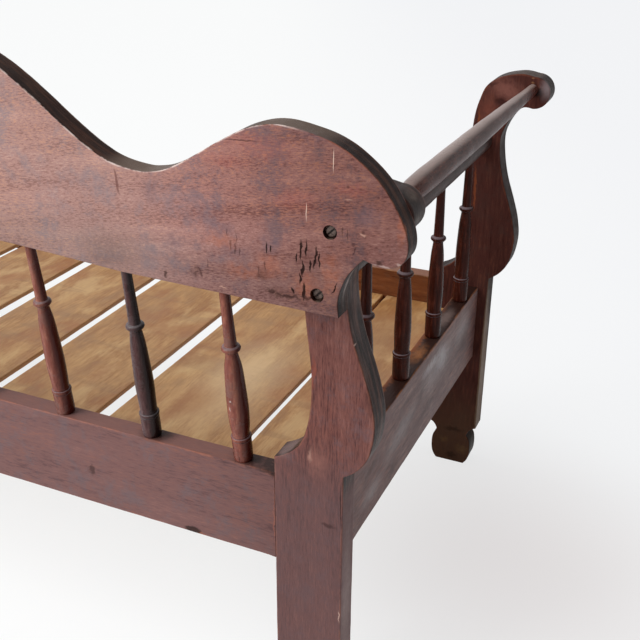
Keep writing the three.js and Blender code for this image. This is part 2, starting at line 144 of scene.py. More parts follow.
SPINDLE_OFFSETS = [
    (0, 1.6), (-1.3, -2.6), (0.5, -0.8), (-0.4, 1.2), (0.6, 0.3), (0, -1),
    (-0.7, 0.9), (0.4, -1.3), (0.2, 1), (-0.5, -0.6), (0.3, 0.8),
]
SPINDLE_GIRTHS = [1.1, 1, 1.03, 1.05, 1, 1.06, 0.99, 1.04, 1.07, 1, 1.05]
SIDE_COLLAR = 0.168

# Turned shape of a spindle, as shares of the collar's radius and of the clear height.
# The collar's own heights count from the collar, all others from the rail.
FOOT_PROFILE = [(0.84, 0), (0.91, 0.006), (0.935, 0.02)]
COLLAR_PROFILE = [
    (0.94, -0.022), (0.925, -0.0165), (0.87, -0.0145), (0.95, -0.0115), (0.99, -0.007), (1, -0.002),
    (0.98, 0.0035), (0.92, 0.007), (0.83, 0.0085), (0.865, 0.0115), (0.845, 0.018), (0.835, 0.024),
]
BALUSTER_PROFILE = [
    (0.86, 0.22), (0.91, 0.3), (0.905, 0.36), (0.86, 0.44), (0.75, 0.56), (0.63, 0.62), (0.57, 0.645),
]
RING_PROFILE = [
    (0.59, 0.6505), (0.66, 0.6545), (0.655, 0.657), (0.6, 0.6585), (0.74, 0.661), (0.83, 0.665), (0.88, 0.671),
    (0.87, 0.678), (0.8, 0.684), (0.7, 0.688), (0.6, 0.6905), (0.575, 0.695), (0.565, 0.701),
]
SHAFT_PROFILE = [(0.55, 0.74), (0.51, 0.85), (0.466, 1)]

REAR_Y = (DEPTH - GAP - CREST_THICK) / 2
FRONT_Y = REAR_Y - DEPTH
BACK_RAIL_MID_Y = REAR_Y - BACK_RAIL_THICK / 2
CREST_MID_Y = REAR_Y + GAP + CREST_THICK / 2
CREST_Y = REAR_Y + GAP + CREST_THICK
SIDE_RAIL_MID = SIDE_RAIL_INSET + SIDE_RAIL_THICK / 2
SEAT_TOP = RAIL_TOP - SEAT_DROP
REAR_POST_Y = REAR_Y - POST_THICK
FRONT_POST_Y = FRONT_Y + POST_THICK
BACK_LEAN = (CREST_MID_Y - BACK_RAIL_MID_Y) / (CREST_BOTTOM - RAIL_TOP)
SIDES = {"right": -1, "left": 1}

# Faces that marks lie on
CREST_FACE = 315.2
BACK_FACE = 289.8
FRONT_FACE = -281.8
SIDE_FACE = -705.1

# How fine the pieces are
CURVE_STEPS = 7
HOLLOW_STEPS = 3
BULB_STEPS = 5
SCROLL_STEPS = 28
ARCH_STEPS = 60
SWELL_STEPS = 6
PROFILE_STEPS = 3
BAR_STEPS = 40
EDGE_STEPS = 3
EDGE_BAND = 1.6
EDGE_PITCH = 9
TURN_SIDES = 40
SCREW_SIDES = 32
CREASE = math.radians(38)

# Worn edges: their radii, the share of a radius that wear changes, and over which pitches
BOARD_EDGE = 1.2
POST_EDGE = 1.4
CREST_EDGE = 0.9
STRIP_EDGE = 1.5
SQUARE_EDGE = 0.05
INSET_KEPT = 0.93
# How much a turned bulge counts as an edge for the pale edge colour, which is partly wear and partly a painted
# highlight on the spindles' rings
BULGE_WEAR_AND_HIGHLIGHT = 2.2
EDGE_WEAR = 0.45
WEAR_PITCH = 23
FINE_WEAR_PITCH = 7
TURNED_WEAR_PITCH = 31

# How far pieces run into one another, and how far off a face a cutter starts
BAR_TAIL = 4
LOW_BAR_TAIL = 2
SPINDLE_TAIL = 8
FOOT_SINK = 2
FOOT_LIFT = 0.1
CUT_START = -4

# Scales of the stained wood's noises, along the fibres and across them, and how far the bend moves a fibre
BEND_SCALE = (3, 8)
BEND_REACH = 0.006
BAND_SCALE = (5, 42)
CLOUD_SCALE = (26, 24)
WARMTH_SCALE = (5, 10)
RUB_SCALE = (40, 90)
SAW_SCALE = (16, 170)
SCATTER_SCALE = 140


def end_x(side, inset):
    """X of a place so far in from the outer face of one end's legs."""
    return side * (LEG_SPAN / 2 - inset)


def crest_screws():
    """End, number, X and Z of each screw in the crest rail."""
    return [
        (end, i, end_x(side, across * LEG_WIDTH), CREST_BOTTOM + up * CREST_END_HEIGHT)
        for end, side in SIDES.items() for i, (across, up) in enumerate(CREST_SCREWS, 1)
    ]


def spline(points, steps=CURVE_STEPS):
    """A smooth line through the points, as many steps between each pair."""
    last = len(points) - 1
    line = []
    for i in range(last):
        a, b, c, d = (points[min(max(i + k, 0), last)] for k in (-1, 0, 1, 2))
        for s in range(steps):
            t = s / steps
            line.append(tuple(
                q + 0.5 * t * ((r - p) + t * ((2 * p - 5 * q + 4 * r - w) + t * (3 * q - p - 3 * r + w)))
                for p, q, r, w in zip(a, b, c, d)
            ))
    return line + [tuple(points[last])]


def wobble(x, y, z, pitch):
    """Smooth noise from -1 to 1 that changes over about one pitch."""
    return noise.noise(Vector((x, y, z)) / pitch)


def post_outline(height):
    """Outline of a post, in from the leg's outer face and up from the floor."""
    half_foot = spline(FOOT_HOLLOW, HOLLOW_STEPS) + spline(FOOT_BULB, BULB_STEPS)[1:]
    outer = [(i * LEG_WIDTH, u * FOOT_HEIGHT) for i, u in half_foot]
    inner = [(LEG_WIDTH - i, u) for i, u in outer]
    rise = height - SHOULDER
    low, high = (
        [(i * LEG_WIDTH, SHOULDER + u * rise) for i, u in shares] for shares in (UPRIGHT_OUTER, UPRIGHT_INNER)
    )
    middle = height - SCROLL_DROP - SCROLL_RADIUS
    scroll = []
    for i in range(SCROLL_STEPS + 1):
        angle = -math.pi / 2 - math.pi * i / SCROLL_STEPS
        scroll.append((SCROLL_RADIUS * math.cos(angle) - SCROLL_REACH, middle + SCROLL_RADIUS * math.sin(angle)))
    return outer[::-1] + spline(low + scroll[:1]) + scroll[1:] + spline(scroll[-1:] + high)[1:] + inner


def underside_at(x):
    """Height of the crest's underside."""
    lead = ARCH_LEAD * min(max(end_x(1, 0) - abs(x), 0) / ARCH_INSET, 1)
    out = min(abs(x) / end_x(1, ARCH_INSET), 1)
    return CREST_BOTTOM + lead + ARCH_RISE * (1 - out * out)


def crest_outline():
    """Outline of the crest rail in X and Z."""
    length = CREST_OVERHANG + CREST_VALLEY_INSET
    valley = VALLEY_HEIGHT * CREST_END_HEIGHT
    hump = CREST_HUMP_HEIGHT - valley
    hollow, half = (
        [(end_x(-1, a * length - CREST_OVERHANG), CREST_BOTTOM + u * CREST_END_HEIGHT) for a, u in shares]
        for shares in (CREST_HOLLOW, CREST_END)
    )
    hollow = spline(hollow)
    half += [(end_x(-1, CREST_VALLEY_INSET) * (1 - a), CREST_BOTTOM + valley + u * hump) for a, u in CREST_HUMP]
    top = spline(half + [(-x, z) for x, z in half[-2::-1]])
    low = [(-x, z) for x, z in hollow[::-1]]
    under = [end_x(1, ARCH_INSET) * (1 - i / ARCH_STEPS) for i in range(2 * ARCH_STEPS + 1)]
    limit = end_x(1, -CREST_OVERHANG)
    line = hollow + top[1:] + low[1:] + [(x, underside_at(x)) for x in under]
    return [(min(max(x, -limit), limit), z) for x, z in line]


def rectangle(u0, u1, v0, v1):
    return [(u0, v0), (u1, v0), (u1, v1), (u0, v1)]


def densed(outline):
    """The outline without doubled points, and with no stretch longer than the edge's pitch."""
    line = []
    for i, a in enumerate(outline):
        b = outline[(i + 1) % len(outline)]
        length = math.dist(a, b)
        if length < 0.05:
            continue
        parts = max(1, math.ceil(length / EDGE_PITCH))
        line += [(a[0] + (b[0] - a[0]) * k / parts, a[1] + (b[1] - a[1]) * k / parts) for k in range(parts)]
    return line


def inward(line):
    """Inward direction at each point, longer at corners so that an offset keeps its width."""
    area = sum(a[0] * b[1] - b[0] * a[1] for a, b in zip(line, line[1:] + line[:1]))
    turn = 1 if area > 0 else -1
    found = []
    for i, p in enumerate(line):
        a = (Vector(p) - Vector(line[i - 1])).normalized()
        b = (Vector(line[(i + 1) % len(line)]) - Vector(p)).normalized()
        na, nb = (Vector((-v.y, v.x)) * turn for v in (a, b))
        mid = (na + nb).normalized()
        found.append(mid / max(mid.dot(na), 0.5))
    return found


def meshed(name, bm):
    """A mesh of the form, which is freed."""
    mesh = bpy.data.meshes.new(name)
    bm.to_mesh(mesh)
    bm.free()
    return mesh


def placed(name, data):
    """A new object in the scene."""
    made = bpy.data.objects.new(name, data)
    bpy.context.scene.collection.objects.link(made)
    return made


def piece(name, bm, material, node):
    """A finished object: rides on the body, and takes the place of its CAD node, which it hides."""
    bmesh.ops.recalc_face_normals(bm, faces=bm.faces)
    for f in bm.faces:
        f.smooth = True
    for e in bm.edges:
        e.smooth = len(e.link_faces) != 2 or e.calc_face_angle(0) < CREASE
    mesh = meshed(name, bm)
    mesh.materials.append(material)
    made = placed(name, mesh)
    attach(made, "root")
    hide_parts(node)
    return made


def skinned(bm, rings):
    """Faces between each ring of points and the next."""
    for a, b in zip(rings, rings[1:]):
        for i in range(len(a)):
            bm.faces.new((a[i - 1], a[i], b[i], b[i - 1]))


def inset_ring(line, turn_in, depths):
    """The outline moved inward by a depth at each point. Points that a corner's other edge cuts off slide to it."""
    points = np.array(line)
    moved = points + np.array([tuple(n) for n in turn_in]) * depths[:, None]
    along = np.roll(points, -1, axis=0) - points
    away = moved[:, None] - points[None]
    share = np.clip((away * along).sum(2) / (along ** 2).sum(1), 0, 1)
    near = np.sqrt(((away - share[:, :, None] * along) ** 2).sum(2).min(1))
    kept = np.flatnonzero(near > INSET_KEPT * depths - 0.01)
    spots = np.arange(len(line))
    wide = np.concatenate((kept - len(line), kept, kept + len(line)))
    for axis in (0, 1):
        moved[:, axis] = np.interp(spots, wide, np.tile(moved[kept, axis], 3))
    return moved


def board(outline, w0, w1, axes, radius=BOARD_EDGE, square=()):
    """A board with worn round edges: an outline in U and V, thick from w0 to w1, as axes maps them to X, Y and Z.

    Edges at the places in U that square names stay sharp, because another piece meets them there.
    """
    line = densed(outline)
    turn_in = inward(line)
    bm = bmesh.new()
    # Marks the rounded edges for the pale edge colour: partly wear, partly a painted highlight
    wear = bm.verts.layers.float.new("edge")

    def radii(start):
        found = []
        for u, v in line:
            coarse, fine = wobble(u, v, start, WEAR_PITCH), wobble(v, start, u, FINE_WEAR_PITCH)
            r = radius * (1 + EDGE_WEAR * coarse + 0.5 * EDGE_WEAR * fine)
            found.append(SQUARE_EDGE if any(abs(u - s) < 0.5 for s in square) else r)
        return np.array(found)

    def ring(face, depth_share, inset_share, extra):
        start, towards = (w0, 1) if face == 0 else (w1, -1)
        r = radii(start)
        depths = r * inset_share + extra
        places = inset_ring(line, turn_in, depths) if depths.max() > 0 else np.array(line)
        made = []
        for (u, v), depth in zip(places, start + towards * r * depth_share):
            place = {"u": u, "v": v, "w": depth}
            vert = bm.verts.new([place[a] * MM for a in axes])
            vert[wear] = float(extra == 0)
            made.append(vert)
        return made

    turns = [math.pi / 2 * k / EDGE_STEPS for k in range(EDGE_STEPS + 1)]
    near = [ring(0, 0, 1, EDGE_BAND)] + [ring(0, 1 - math.cos(t), 1 - math.sin(t), 0) for t in turns]
    far = [ring(1, 1 - math.cos(t), 1 - math.sin(t), 0) for t in turns[::-1]]
    band = EDGE_BAND / abs(w1 - w0)
    middle = [
        [bm.verts.new(a.co.lerp(b.co, share)) for a, b in zip(near[-1], far[0])] for share in (band, 0.5, 1 - band)
    ]
    rings = near + middle + far + [ring(1, 0, 1, EDGE_BAND)]
    skinned(bm, rings)
    for cap in (rings[0], rings[-1]):
        face = bm.faces.new(cap)
        face.normal_update()
        bmesh.ops.triangulate(bm, faces=[face])
    return bm


def turned(profile, base, top, sides=TURN_SIDES, worn=0.12, floor=None):
    """A turned piece: radius and distance from the base, about the line from the base towards the top."""
    bm = bmesh.new()
    # Marks the bulges, such as a spindle's rings, for the pale edge colour: partly wear, partly a painted highlight
    wear = bm.verts.layers.float.new("edge")
    base, top = Vector(base), Vector(top)
    axis = (top - base).normalized()
    across = axis.cross(Vector((0.3, 0.2, 0.93) if abs(axis.z) < 0.5 else (0, 1, 0))).normalized()
    other = axis.cross(across)
    rings = []
    for i, (radius, along) in enumerate(profile):
        bulge = 0
        if 0 < i < len(profile) - 1:
            bulge = radius - (profile[i - 1][0] + profile[i + 1][0]) / 2
        row = []
        for k in range(sides):
            angle = 2 * math.pi * k / sides
            way = across * math.cos(angle) + other * math.sin(angle)
            middle = base + axis * along
            r = radius + worn * wobble(*(middle[n] + 40 * way[n] for n in range(3)), TURNED_WEAR_PITCH)
            p = middle + way * r
            if floor is not None:
                p.z = max(p.z, floor)
            vert = bm.verts.new(p * MM)
            vert[wear] = min(max(bulge * BULGE_WEAR_AND_HIGHLIGHT, 0), 1)
            row.append(vert)
        rings.append(row)
    skinned(bm, rings)
    bm.faces.new(rings[0])
    bm.faces.new(rings[-1])
    return bm


def joined(parts):
    """Several closed forms as one."""
    whole = bmesh.new()
    for bm in parts:
        mesh = meshed("part", bm)
        whole.from_mesh(mesh)
        bpy.data.meshes.remove(mesh)
    return whole


def carved(made, cutters):
    """Cuts the cutters out of a piece."""
    tool = joined(cutters)
    bmesh.ops.recalc_face_normals(tool, faces=tool.faces)
    mesh = meshed("cutter", tool)
    cutter = placed("cutter", mesh)
    cut = made.modifiers.new("cut", "BOOLEAN")
    cut.operation = "DIFFERENCE"
    cut.solver = "EXACT"
    cut.object = cutter
    bpy.context.view_layer.update()
    ready = made.evaluated_get(bpy.context.evaluated_depsgraph_get())
    result = bpy.data.meshes.new_from_object(ready)
    made.modifiers.remove(cut)
    old = made.data
    made.data = result
    bpy.data.meshes.remove(old)
    result.name = made.name
    bpy.data.objects.remove(cutter)
    bpy.data.meshes.remove(mesh)


def colour(text):
    """Linear colour from a hex one."""
    parts = [int(text[i:i + 2], 16) / 255 for i in (0, 2, 4)]
    return [c / 12.92 if c <= 0.04045 else ((c + 0.055) / 1.055) ** 2.4 for c in parts] + [1]


class Graph:
    """A material's nodes, with short calls for the ones used here."""

    def __init__(self, name):
        self.material = bpy.data.materials.new(name)
        self.material.use_nodes = True
        self.nodes = self.material.node_tree.nodes
        self.links = self.material.node_tree.links
        self.shader = self.nodes["Principled BSDF"]
        self.place = self.make("TexCoord").outputs["Object"]

    def make(self, kind, inputs=None, **settings):
        made = self.nodes.new("ShaderNode" + kind)
        for key, value in settings.items():
            setattr(made, key, value)
        for key, value in (inputs or {}).items():
            self.feed(made.inputs[key], value)
        return made

    def feed(self, socket, value):
        """Links or sets a socket. A text is a hex colour."""
        if isinstance(value, bpy.types.NodeSocket):
            self.links.new(value, socket)
        else:
            socket.default_value = colour(value) if isinstance(value, str) else value

    def stretched(self, scale, shift=(0, 0, 0), place=None):
        return self.make("Mapping", {"Vector": place or self.place, "Location": shift, "Scale": scale}).outputs[0]

    def noise(self, vector, scale=1, detail=3, roughness=0.55, distortion=0):
        made = self.make("TexNoise", {
            "Vector": vector, "Scale": scale, "Detail": detail, "Roughness": roughness, "Distortion": distortion,
        })
        return made.outputs["Fac"]

    def math(self, kind, a, b=0.0, clamp=False):
        made = self.make("Math", operation=kind, use_clamp=clamp)
        self.feed(made.inputs[0], a)
        self.feed(made.inputs[1], b)
        return made.outputs[0]

    def times(self, a, b, clamp=False):
        return self.math("MULTIPLY", a, b, clamp)

    def vector(self, kind, a, b=(0, 0, 0), output="Vector"):
        return self.make("VectorMath", {0: a, 1: b}, operation=kind).outputs[output]

    def bent(self, place, bend, reach):
        """The place, moved by a noise so that lines through it run uneven."""
        moved = self.make("VectorMath", {0: place}, operation="ADD")
        self.feed(moved.inputs[1], self.times(self.math("SUBTRACT", bend, 0.5), reach))
        return moved.outputs[0]

    def span(self, value, low, high, to_low=0.0, to_high=1.0):
        """The value from low to high, spread smoothly over a new range."""
        return self.make("MapRange", {
            0: value, "From Min": low, "From Max": high, "To Min": to_low, "To Max": to_high,
        }, interpolation_type="SMOOTHSTEP").outputs[0]

    def mix(self, share, a, b, kind="MIX"):
        made = self.make("Mix", data_type="RGBA", blend_type=kind)
        self.feed(made.inputs[0], share)
        self.feed(made.inputs[6], a)
        self.feed(made.inputs[7], b)
        return made.outputs[2]

    def along(self, axis):
        """Place along one axis of the frame, in metres."""
        return self.make("SeparateXYZ", {0: self.place}).outputs[axis]

    def facing(self, axis):
        """Share of the surface's own direction along one axis of the frame."""
        normal = self.make("NewGeometry").outputs["Normal"]
        return self.make("SeparateXYZ", {0: normal}).outputs[axis]

    def mark(self, centre, size, turn=(0, 0, 0), rough=0.0, sharp=0.5):
        """1 inside an ellipsoid at one place, fading to 0 at its edge. Centre and size in millimetres."""
        here = self.place
        if rough:
            scatter = self.make("TexNoise", {"Vector": here, "Scale": SCATTER_SCALE, "Detail": 3})
            moved = self.vector("ADD", scatter.outputs["Color"], (-0.5, -0.5, -0.5))
            here = self.vector("ADD", here, self.vector("MULTIPLY", moved, (rough * MM,) * 3))
        local = self.make("Mapping", {
            "Vector": here, "Location": [c * MM for c in centre],
            "Rotation": [math.radians(a) for a in turn], "Scale": [s * MM for s in size],
        }, vector_type="TEXTURE").outputs[0]
        return self.span(self.vector("LENGTH", local, output="Value"), 1, 1 - sharp)

    def marked(self, base, marks):
        """The colour with marks on it, and how deep they dent."""
        dents = 0.0
        for tint, share, dent, spots in marks:
            found = None
            for place in spots:
                one = self.mark(*place)
                found = one if found is None else self.math("MAXIMUM", found, one)
            base = self.mix(self.times(found, share), base, tint)
            if dent:
                dents = self.math("ADD", dents, self.times(found, dent))
        return base, dents

    def finish(self, base, roughness, height, depth, **constants):
        self.feed(self.shader.inputs["Base Color"], base)
        self.feed(self.shader.inputs["Roughness"], roughness)
        bump = self.make("Bump", {"Height": height, "Distance": depth, "Strength": 1})
        self.links.new(bump.outputs[0], self.shader.inputs["Normal"])
        for key, value in constants.items():
            self.shader.inputs[key.replace("_", " ")].default_value = value
        return self.material


def stain(name, axis, deep, body, light, fleck, cloud, shift=(0, 0, 0), worn="c7a497", wear_and_highlight_share=0.5,
          highlight_from=None, highlight_far=None, flecks=0.5, clouds=0.6, fibres=0.4, streak=(34, 260),
          pore=(150, 460), gloss=(0.36, 0.56), sheen=0.5, sawn=None, sawn_from=None, painted_light=(), fades=(),
          marks=(), contrast=0.14, bump=0.0006, tilt=0):
    """Old stained wood: fine fibres along one axis, warm flecks, cool clouds, dark pores, and pale edges that are
    partly wear and partly a painted highlight.

    Flecks, clouds and fibres are shares, and so is the strength of the pale edges. Streak and pore are scales along
    and across the fibres. Sawn names the axis across the board, three colours of the faces that don't look along it
    (dark, pale, and a tone where they look up, which on the crest is a painted sheen), and their share; sawn_from
    is the height at which it starts. The painted-light tints each give a direction, a colour, a share and two
    cosines, and paint light or shade on a side that looks that way. Fades are tints that grow between two places
    along an axis.
    The pale edges can be kept to those that look up, where the light falls; past a place along X they take a tint
    instead of their painted highlight. Tilt is how far the fibres run off the axis, in degrees about Y.
    """
    g = Graph(name)

    def grained(scales, place=None, offset=shift, **settings):
        scale = [scales[0] if a == axis else scales[1] for a in "XYZ"]
        return g.noise(g.stretched(scale, offset, place), **settings)

    leaning = g.make("Mapping", {"Vector": g.place, "Rotation": (0, math.radians(tilt), 0)}).outputs[0]
    line = g.bent(leaning, grained(BEND_SCALE, detail=2), BEND_REACH)
    band = grained(BAND_SCALE, line, detail=5, roughness=0.6)
    grain = grained(streak, line, detail=4, roughness=0.65)
    fibre = grained(pore, line, detail=3, roughness=0.7)
    cloudy = grained(CLOUD_SCALE, detail=8, roughness=0.78)
    warmth = grained(WARMTH_SCALE, offset=[s + 3.7 for s in shift], detail=3)

    tone = g.math("ADD", g.times(grain, 0.6), g.times(band, 0.4))
    base = g.mix(g.span(tone, 0.5 - contrast, 0.5), deep, body)
    base = g.mix(g.span(tone, 0.5, 0.5 + contrast), base, light)
    base = g.mix(g.times(g.span(cloudy, 0.48, 0.64), clouds), base, cloud)
    warm = g.times(g.span(grain, 0.52, 0.64), g.span(warmth, 0.36, 0.58))
    base = g.mix(g.times(warm, flecks), base, fleck)
    base = g.mix(g.times(g.span(fibre, 0.48, 0.34), fibres), base, deep)
    for kind, along, start, stop, tint, share in fades:
        far = g.span(g.math("ABSOLUTE", g.along(along)), start, stop)
        uneven = g.math("ADD", far, g.times(g.math("SUBTRACT", cloudy, 0.5), far), clamp=True)
        base = g.mix(g.times(uneven, share), base, tint, kind)
    if sawn:
        across, tint, pale, top, share = sawn
        scale = [SAW_SCALE[a == across] for a in "XYZ"]
        saw = g.noise(g.stretched(scale, shift), detail=5, roughness=0.65)
        streaks = g.mix(g.span(saw, 0.4, 0.64), tint, pale)
        # Sawn faces that look up take their own tone; on the crest it is a painted sheen.
        streaks = g.mix(g.span(g.facing("Z"), 0.9, 1), streaks, top)
        turned_away = g.span(g.math("ABSOLUTE", g.facing(across)), 0.85, 0.4)
        if sawn_from:
            turned_away = g.times(turned_away, g.span(g.along("Z"), *sawn_from))
        base = g.mix(g.times(turned_away, share), base, streaks)
    # Painted light: each tint lightens or darkens the sides that look one way, as highlights or shade.
    for towards, tint, share, low, high in painted_light:
        normal = g.make("NewGeometry").outputs["Normal"]
        side = g.vector("DOT_PRODUCT", normal, towards, "Value")
        base = g.mix(g.times(g.span(side, low, high), share), base, tint)
    # Pale edges, partly wear and partly a painted highlight: they can be kept to edges that look up, where the
    # light falls, and lose the highlight's pale colour past a place along X.
    rub = grained(RUB_SCALE, detail=4, roughness=0.7)
    edge = g.make("Attribute", attribute_name="edge").outputs["Fac"]
    wear_and_highlight_edges = g.times(g.span(edge, 0.5, 1), g.span(rub, 0.4, 0.6), True)
    if highlight_from:
        wear_and_highlight_edges = g.times(wear_and_highlight_edges, g.span(g.facing("Z"), *highlight_from))
    if highlight_far:
        start, stop, far_tint = highlight_far
        worn = g.mix(g.span(g.math("ABSOLUTE", g.along("X")), start, stop), worn, far_tint)
    base = g.mix(g.times(wear_and_highlight_edges, wear_and_highlight_share), base, worn)
    base, dents = g.marked(base, marks)
    shine = g.span(cloudy, 0.35, 0.7, *gloss)
    height = g.math("ADD", g.times(fibre, 0.5), g.times(grain, 0.6))
    height = g.math("SUBTRACT", height, dents)
    return g.finish(base, shine, height, bump, Specular_IOR_Level=sheen)


def seat_wood():
    """Honey-coloured boards with their fibres along Y, and painted reflected light on their sides."""
    g = Graph("honey_boards")
    line = g.bent(g.place, g.noise(g.stretched((9, 1.6, 9)), detail=2), 0.03)
    band = g.noise(g.stretched((26, 3.5, 26), place=line), detail=5, roughness=0.6)
    grain = g.noise(g.stretched((330, 40, 330), place=line), detail=4, roughness=0.7)
    blotch = g.noise(g.stretched((20, 8, 20)), detail=6, roughness=0.62, distortion=0.3)
    warm = g.noise(g.stretched((14, 9, 14), (4, 2, 1)), detail=4)
    ripple = g.noise(g.stretched((9, 38, 9), (1, 5, 2)), detail=3)
    tone = g.math("ADD", g.times(grain, 0.45), g.times(band, 0.55))
    base = g.mix(g.span(tone, 0.38, 0.62), "966638", "bb8f5c")
    for value, low, high, share, tint in (
        (blotch, 0.47, 0.64, 0.7, "cda97a"), (blotch, 0.5, 0.36, 0.5, "8f653b"),
        (warm, 0.5, 0.66, 0.6, "945a30"), (ripple, 0.54, 0.68, 0.3, "8a6647"),
    ):
        base = g.mix(g.times(g.span(value, low, high), share), base, tint)
    base = g.marked(base, BOARD_MARKS)[0]
    # Faces that don't look up take a lighter orange tint: painted light that the boards reflect onto their sides.
    painted_side_light = g.math("SUBTRACT", 1, g.span(g.facing("Z"), 0.5, 0.95))
    base = g.mix(g.times(painted_side_light, 0.85), base, "b07a45")
    height = g.math("ADD", g.times(grain, 0.7), g.times(band, 0.3))
    return g.finish(base, g.span(blotch, 0.3, 0.7, 0.42, 0.6), height, 0.0005, IOR=1.48)


def steel():
    """Dull screw heads, darker in the crest screws' slots."""
    g = Graph("dull_steel")
    rust = g.noise(g.place, 420, detail=4)
    fine = g.noise(g.place, 1500, detail=2)
    base = g.mix(g.span(rust, 0.4, 0.62), "5f4f47", "3e3029")
    base = g.marked(base, SCREW_MARKS)[0]
    return g.finish(base, g.span(fine, 0.3, 0.7, 0.38, 0.62), rust, 0.0002, Metallic=0.4)


def blob(centre, size, rough=12, sharp=1, turn=(0, 0, 0)):
    """A mark in an ellipsoid: how ragged it is, in millimetres, how much of it fades, and its turn in degrees."""
    return centre, size, turn, rough, sharp


def spot(x, z, wide, high=None, rough=0, sharp=0.7, y=CREST_FACE):
    """A round mark on a face that looks along Y."""
    return blob((x, y, z), (wide, 8, high or wide), rough, sharp)


def blot(x, z, wide, high, rough=24, y=CREST_FACE):
    """A soft mark with a ragged edge on a face that looks along Y."""
    return spot(x, z, wide, high, rough, 1, y)


def upright(x, z, half, wide=1.7, lean=0, rough=5, y=CREST_FACE):
    """A thin mark that runs up a face that looks along Y."""
    return blob((x, y, z), (wide, 6, half), rough, 0.5, (0, lean, 0))


def lying(x, y, wide, long, rough=12, sharp=1, deep=9, z=SEAT_TOP, turn=0):
    """A mark on a face that looks up."""
    return blob((x, y, z), (wide, long, deep), rough, sharp, (0, 0, turn))


def patch(y, z, wide, high, lean=0, rough=16, sharp=1):
    """A mark on the right side rail's outer face."""
    return blob((SIDE_FACE, y, z), (8, wide, high), rough, sharp, (lean, 0, 0))


# Marks of each material: a colour, its share, how deep it dents, and its places
CREST_MARKS = [
    ("6a5960", 0.5, 0, [
        blot(-603, 605, 26, 11), blot(-552, 585, 22, 9), blot(-616, 586, 24, 13), blot(-652, 600, 18, 14),
        blot(-747, 640, 20, 16, 20), blot(-696, 709, 26, 12), blot(-525, 633, 16, 22),
    ]),
    ("5f3c36", 0.4, 0.3, [blot(-691, 585, 22, 34, 20), blot(-668, 552, 34, 12, 20)]),
    ("38211f", 0.55, 0.8, [
        blot(-643.8, 565, 11, 10, 16), blot(-572.6, 556, 10, 11, 20), upright(-616, 588, 8, 1.4),
        upright(-611, 591, 6, 1.2), upright(-621, 586, 6, 1.2), upright(-577, 557, 8, 1.4, 20),
    ]),
    ("a4564c", 0.25, 0, [
        blot(-608, 673, 40, 12), blot(-679, 645, 34, 14), blot(-731, 662, 30, 9), blot(-640, 690, 60, 20),
    ]),
    ("b2623c", 0.3, 0, [
        blot(-690, 562, 22, 18), blot(-714, 580, 14, 34), blot(-652, 576, 24, 18), blot(-624, 566, 28, 12),
        blot(-600, 594, 26, 12), blot(-780, 632, 7, 26, 20),
    ]),
    ("5b4946", 0.42, 0, [blot(-470, 560, 62, 38)]),
    ("160a08", 0.92, 1.6, [upright(*row) for row in (
        (-684.2, 598, 12, 1.6, 0, 6), (-689.5, 600, 10, 1.3, 0, 6), (-698.8, 592, 14, 1.6, -8, 6),
        (-703, 591, 10, 1.4, 0, 6), (-686, 580, 11, 1.8, 0, 7), (-687.2, 557, 11, 2.2, 0, 7),
        (-648.9, 594.7, 7.5, 1.1), (-654, 594.9, 5, 1), (-683, 569, 7, 1.6, 0, 7), (-694, 584, 8, 1.2, 0, 6),
        (-680, 590, 6, 1), (-676, 556, 5, 1.2, 20), (-718.1, 566, 8, 0.8, -22),
    )]),
    ("33201c", 0.75, 0.9, [spot(*row) for row in (
        (-669.6, 548.4, 20, 3, 14), (-655, 552, 8, 4, 14), (-690, 552, 9, 3, 14), (-760.5, 598.6, 5, 4, 10),
        (-536, 548, 4, 5, 12),
    )]),
    ("5a3430", 0.6, 0, [upright(-487.7, 635.9, 16.4, 2.2, 4)]),
    ("40282a", 0.6, 0.5, [
        spot(-729.6, 664.2, 2.2), spot(-758.1, 658.3, 1.7), spot(-744.9, 624.3, 2.6), spot(-735.9, 611.5, 2.7),
    ]),
    ("2e1817", 0.5, 0, [upright(x, z, 6, 0.9, lean) for x, z, lean in (
        (-725, 622, 0), (-730, 620, 4), (-647, 576, 6), (-640, 571, -4), (-608, 603, 4), (-617, 599, -3),
        (-585, 568, 6), (-737, 606, -14),
    )]),
    ("dcbfae", 0.75, 0, [upright(-715.6, 686, 13, 0.5, 0, 1.5), upright(-689.7, 635.4, 11.3, 0.45, 0, 1.5)]),
    ("c99f8c", 0.5, 0, [
        spot(-601, 545.9, 6, 1.5, 5), spot(-730, 652, 8, 1, 8, 1), spot(-745, 622, 4, 1.5, 6),
    ]),
    ("bda69e", 0.55, 0, [
        spot(-752, 596.2, 9, 1.4, 5), spot(-767, 595.4, 10, 1.5, 5), spot(-780, 600, 4, 1.6, 5),
    ]),
    ("b9a8a2", 0.5, 0, [blob((-728, 302, 566), (16, 5, 34), 8)]),
    ("0f0807", 0.6, 0, [blob((-724, 312, 560), (14, 4, 36), 8)]),
    ("3c2522", 0.6, 0.4, [upright(-626, 693.2, 0.8, 23, 3, 3)]),
]
RAIL_MARKS = [
    ("20110c", 0.85, 0.8, [spot(-532.3, 213.5, 13.5, 6, 6, 0.4, BACK_FACE)]),
    ("a8623c", 0.5, 0, [spot(-545, 211.6, 9, 1.4, 8, y=BACK_FACE), spot(-566, 211, 14, 1, 6, y=BACK_FACE)]),
    ("2e1a17", 0.6, 0.6, [
        spot(*row, y=BACK_FACE) for row in ((-560, 207.5, 4, 2.5, 5), (-576, 206.5, 6, 2, 5), (-395, 258, 8, 9, 26))
    ]),
    ("a3604a", 0.35, 0, [upright(-638.6, 262, 34, 0.9, 0, 6, BACK_FACE)]),
    # Painted shadow round the spindles' feet and in the corner by the post, on the rail's top
    ("1a0e0c", 0.85, 0, [lying(*row, z=RAIL_TOP) for row in (
        (-606, 274, 34, 24, 10, 0.8, 5), (-484, 274, 30, 24, 8, 0.8, 5), (-640, 277, 44, 30, 12, 0.7, 6),
    )]),
]
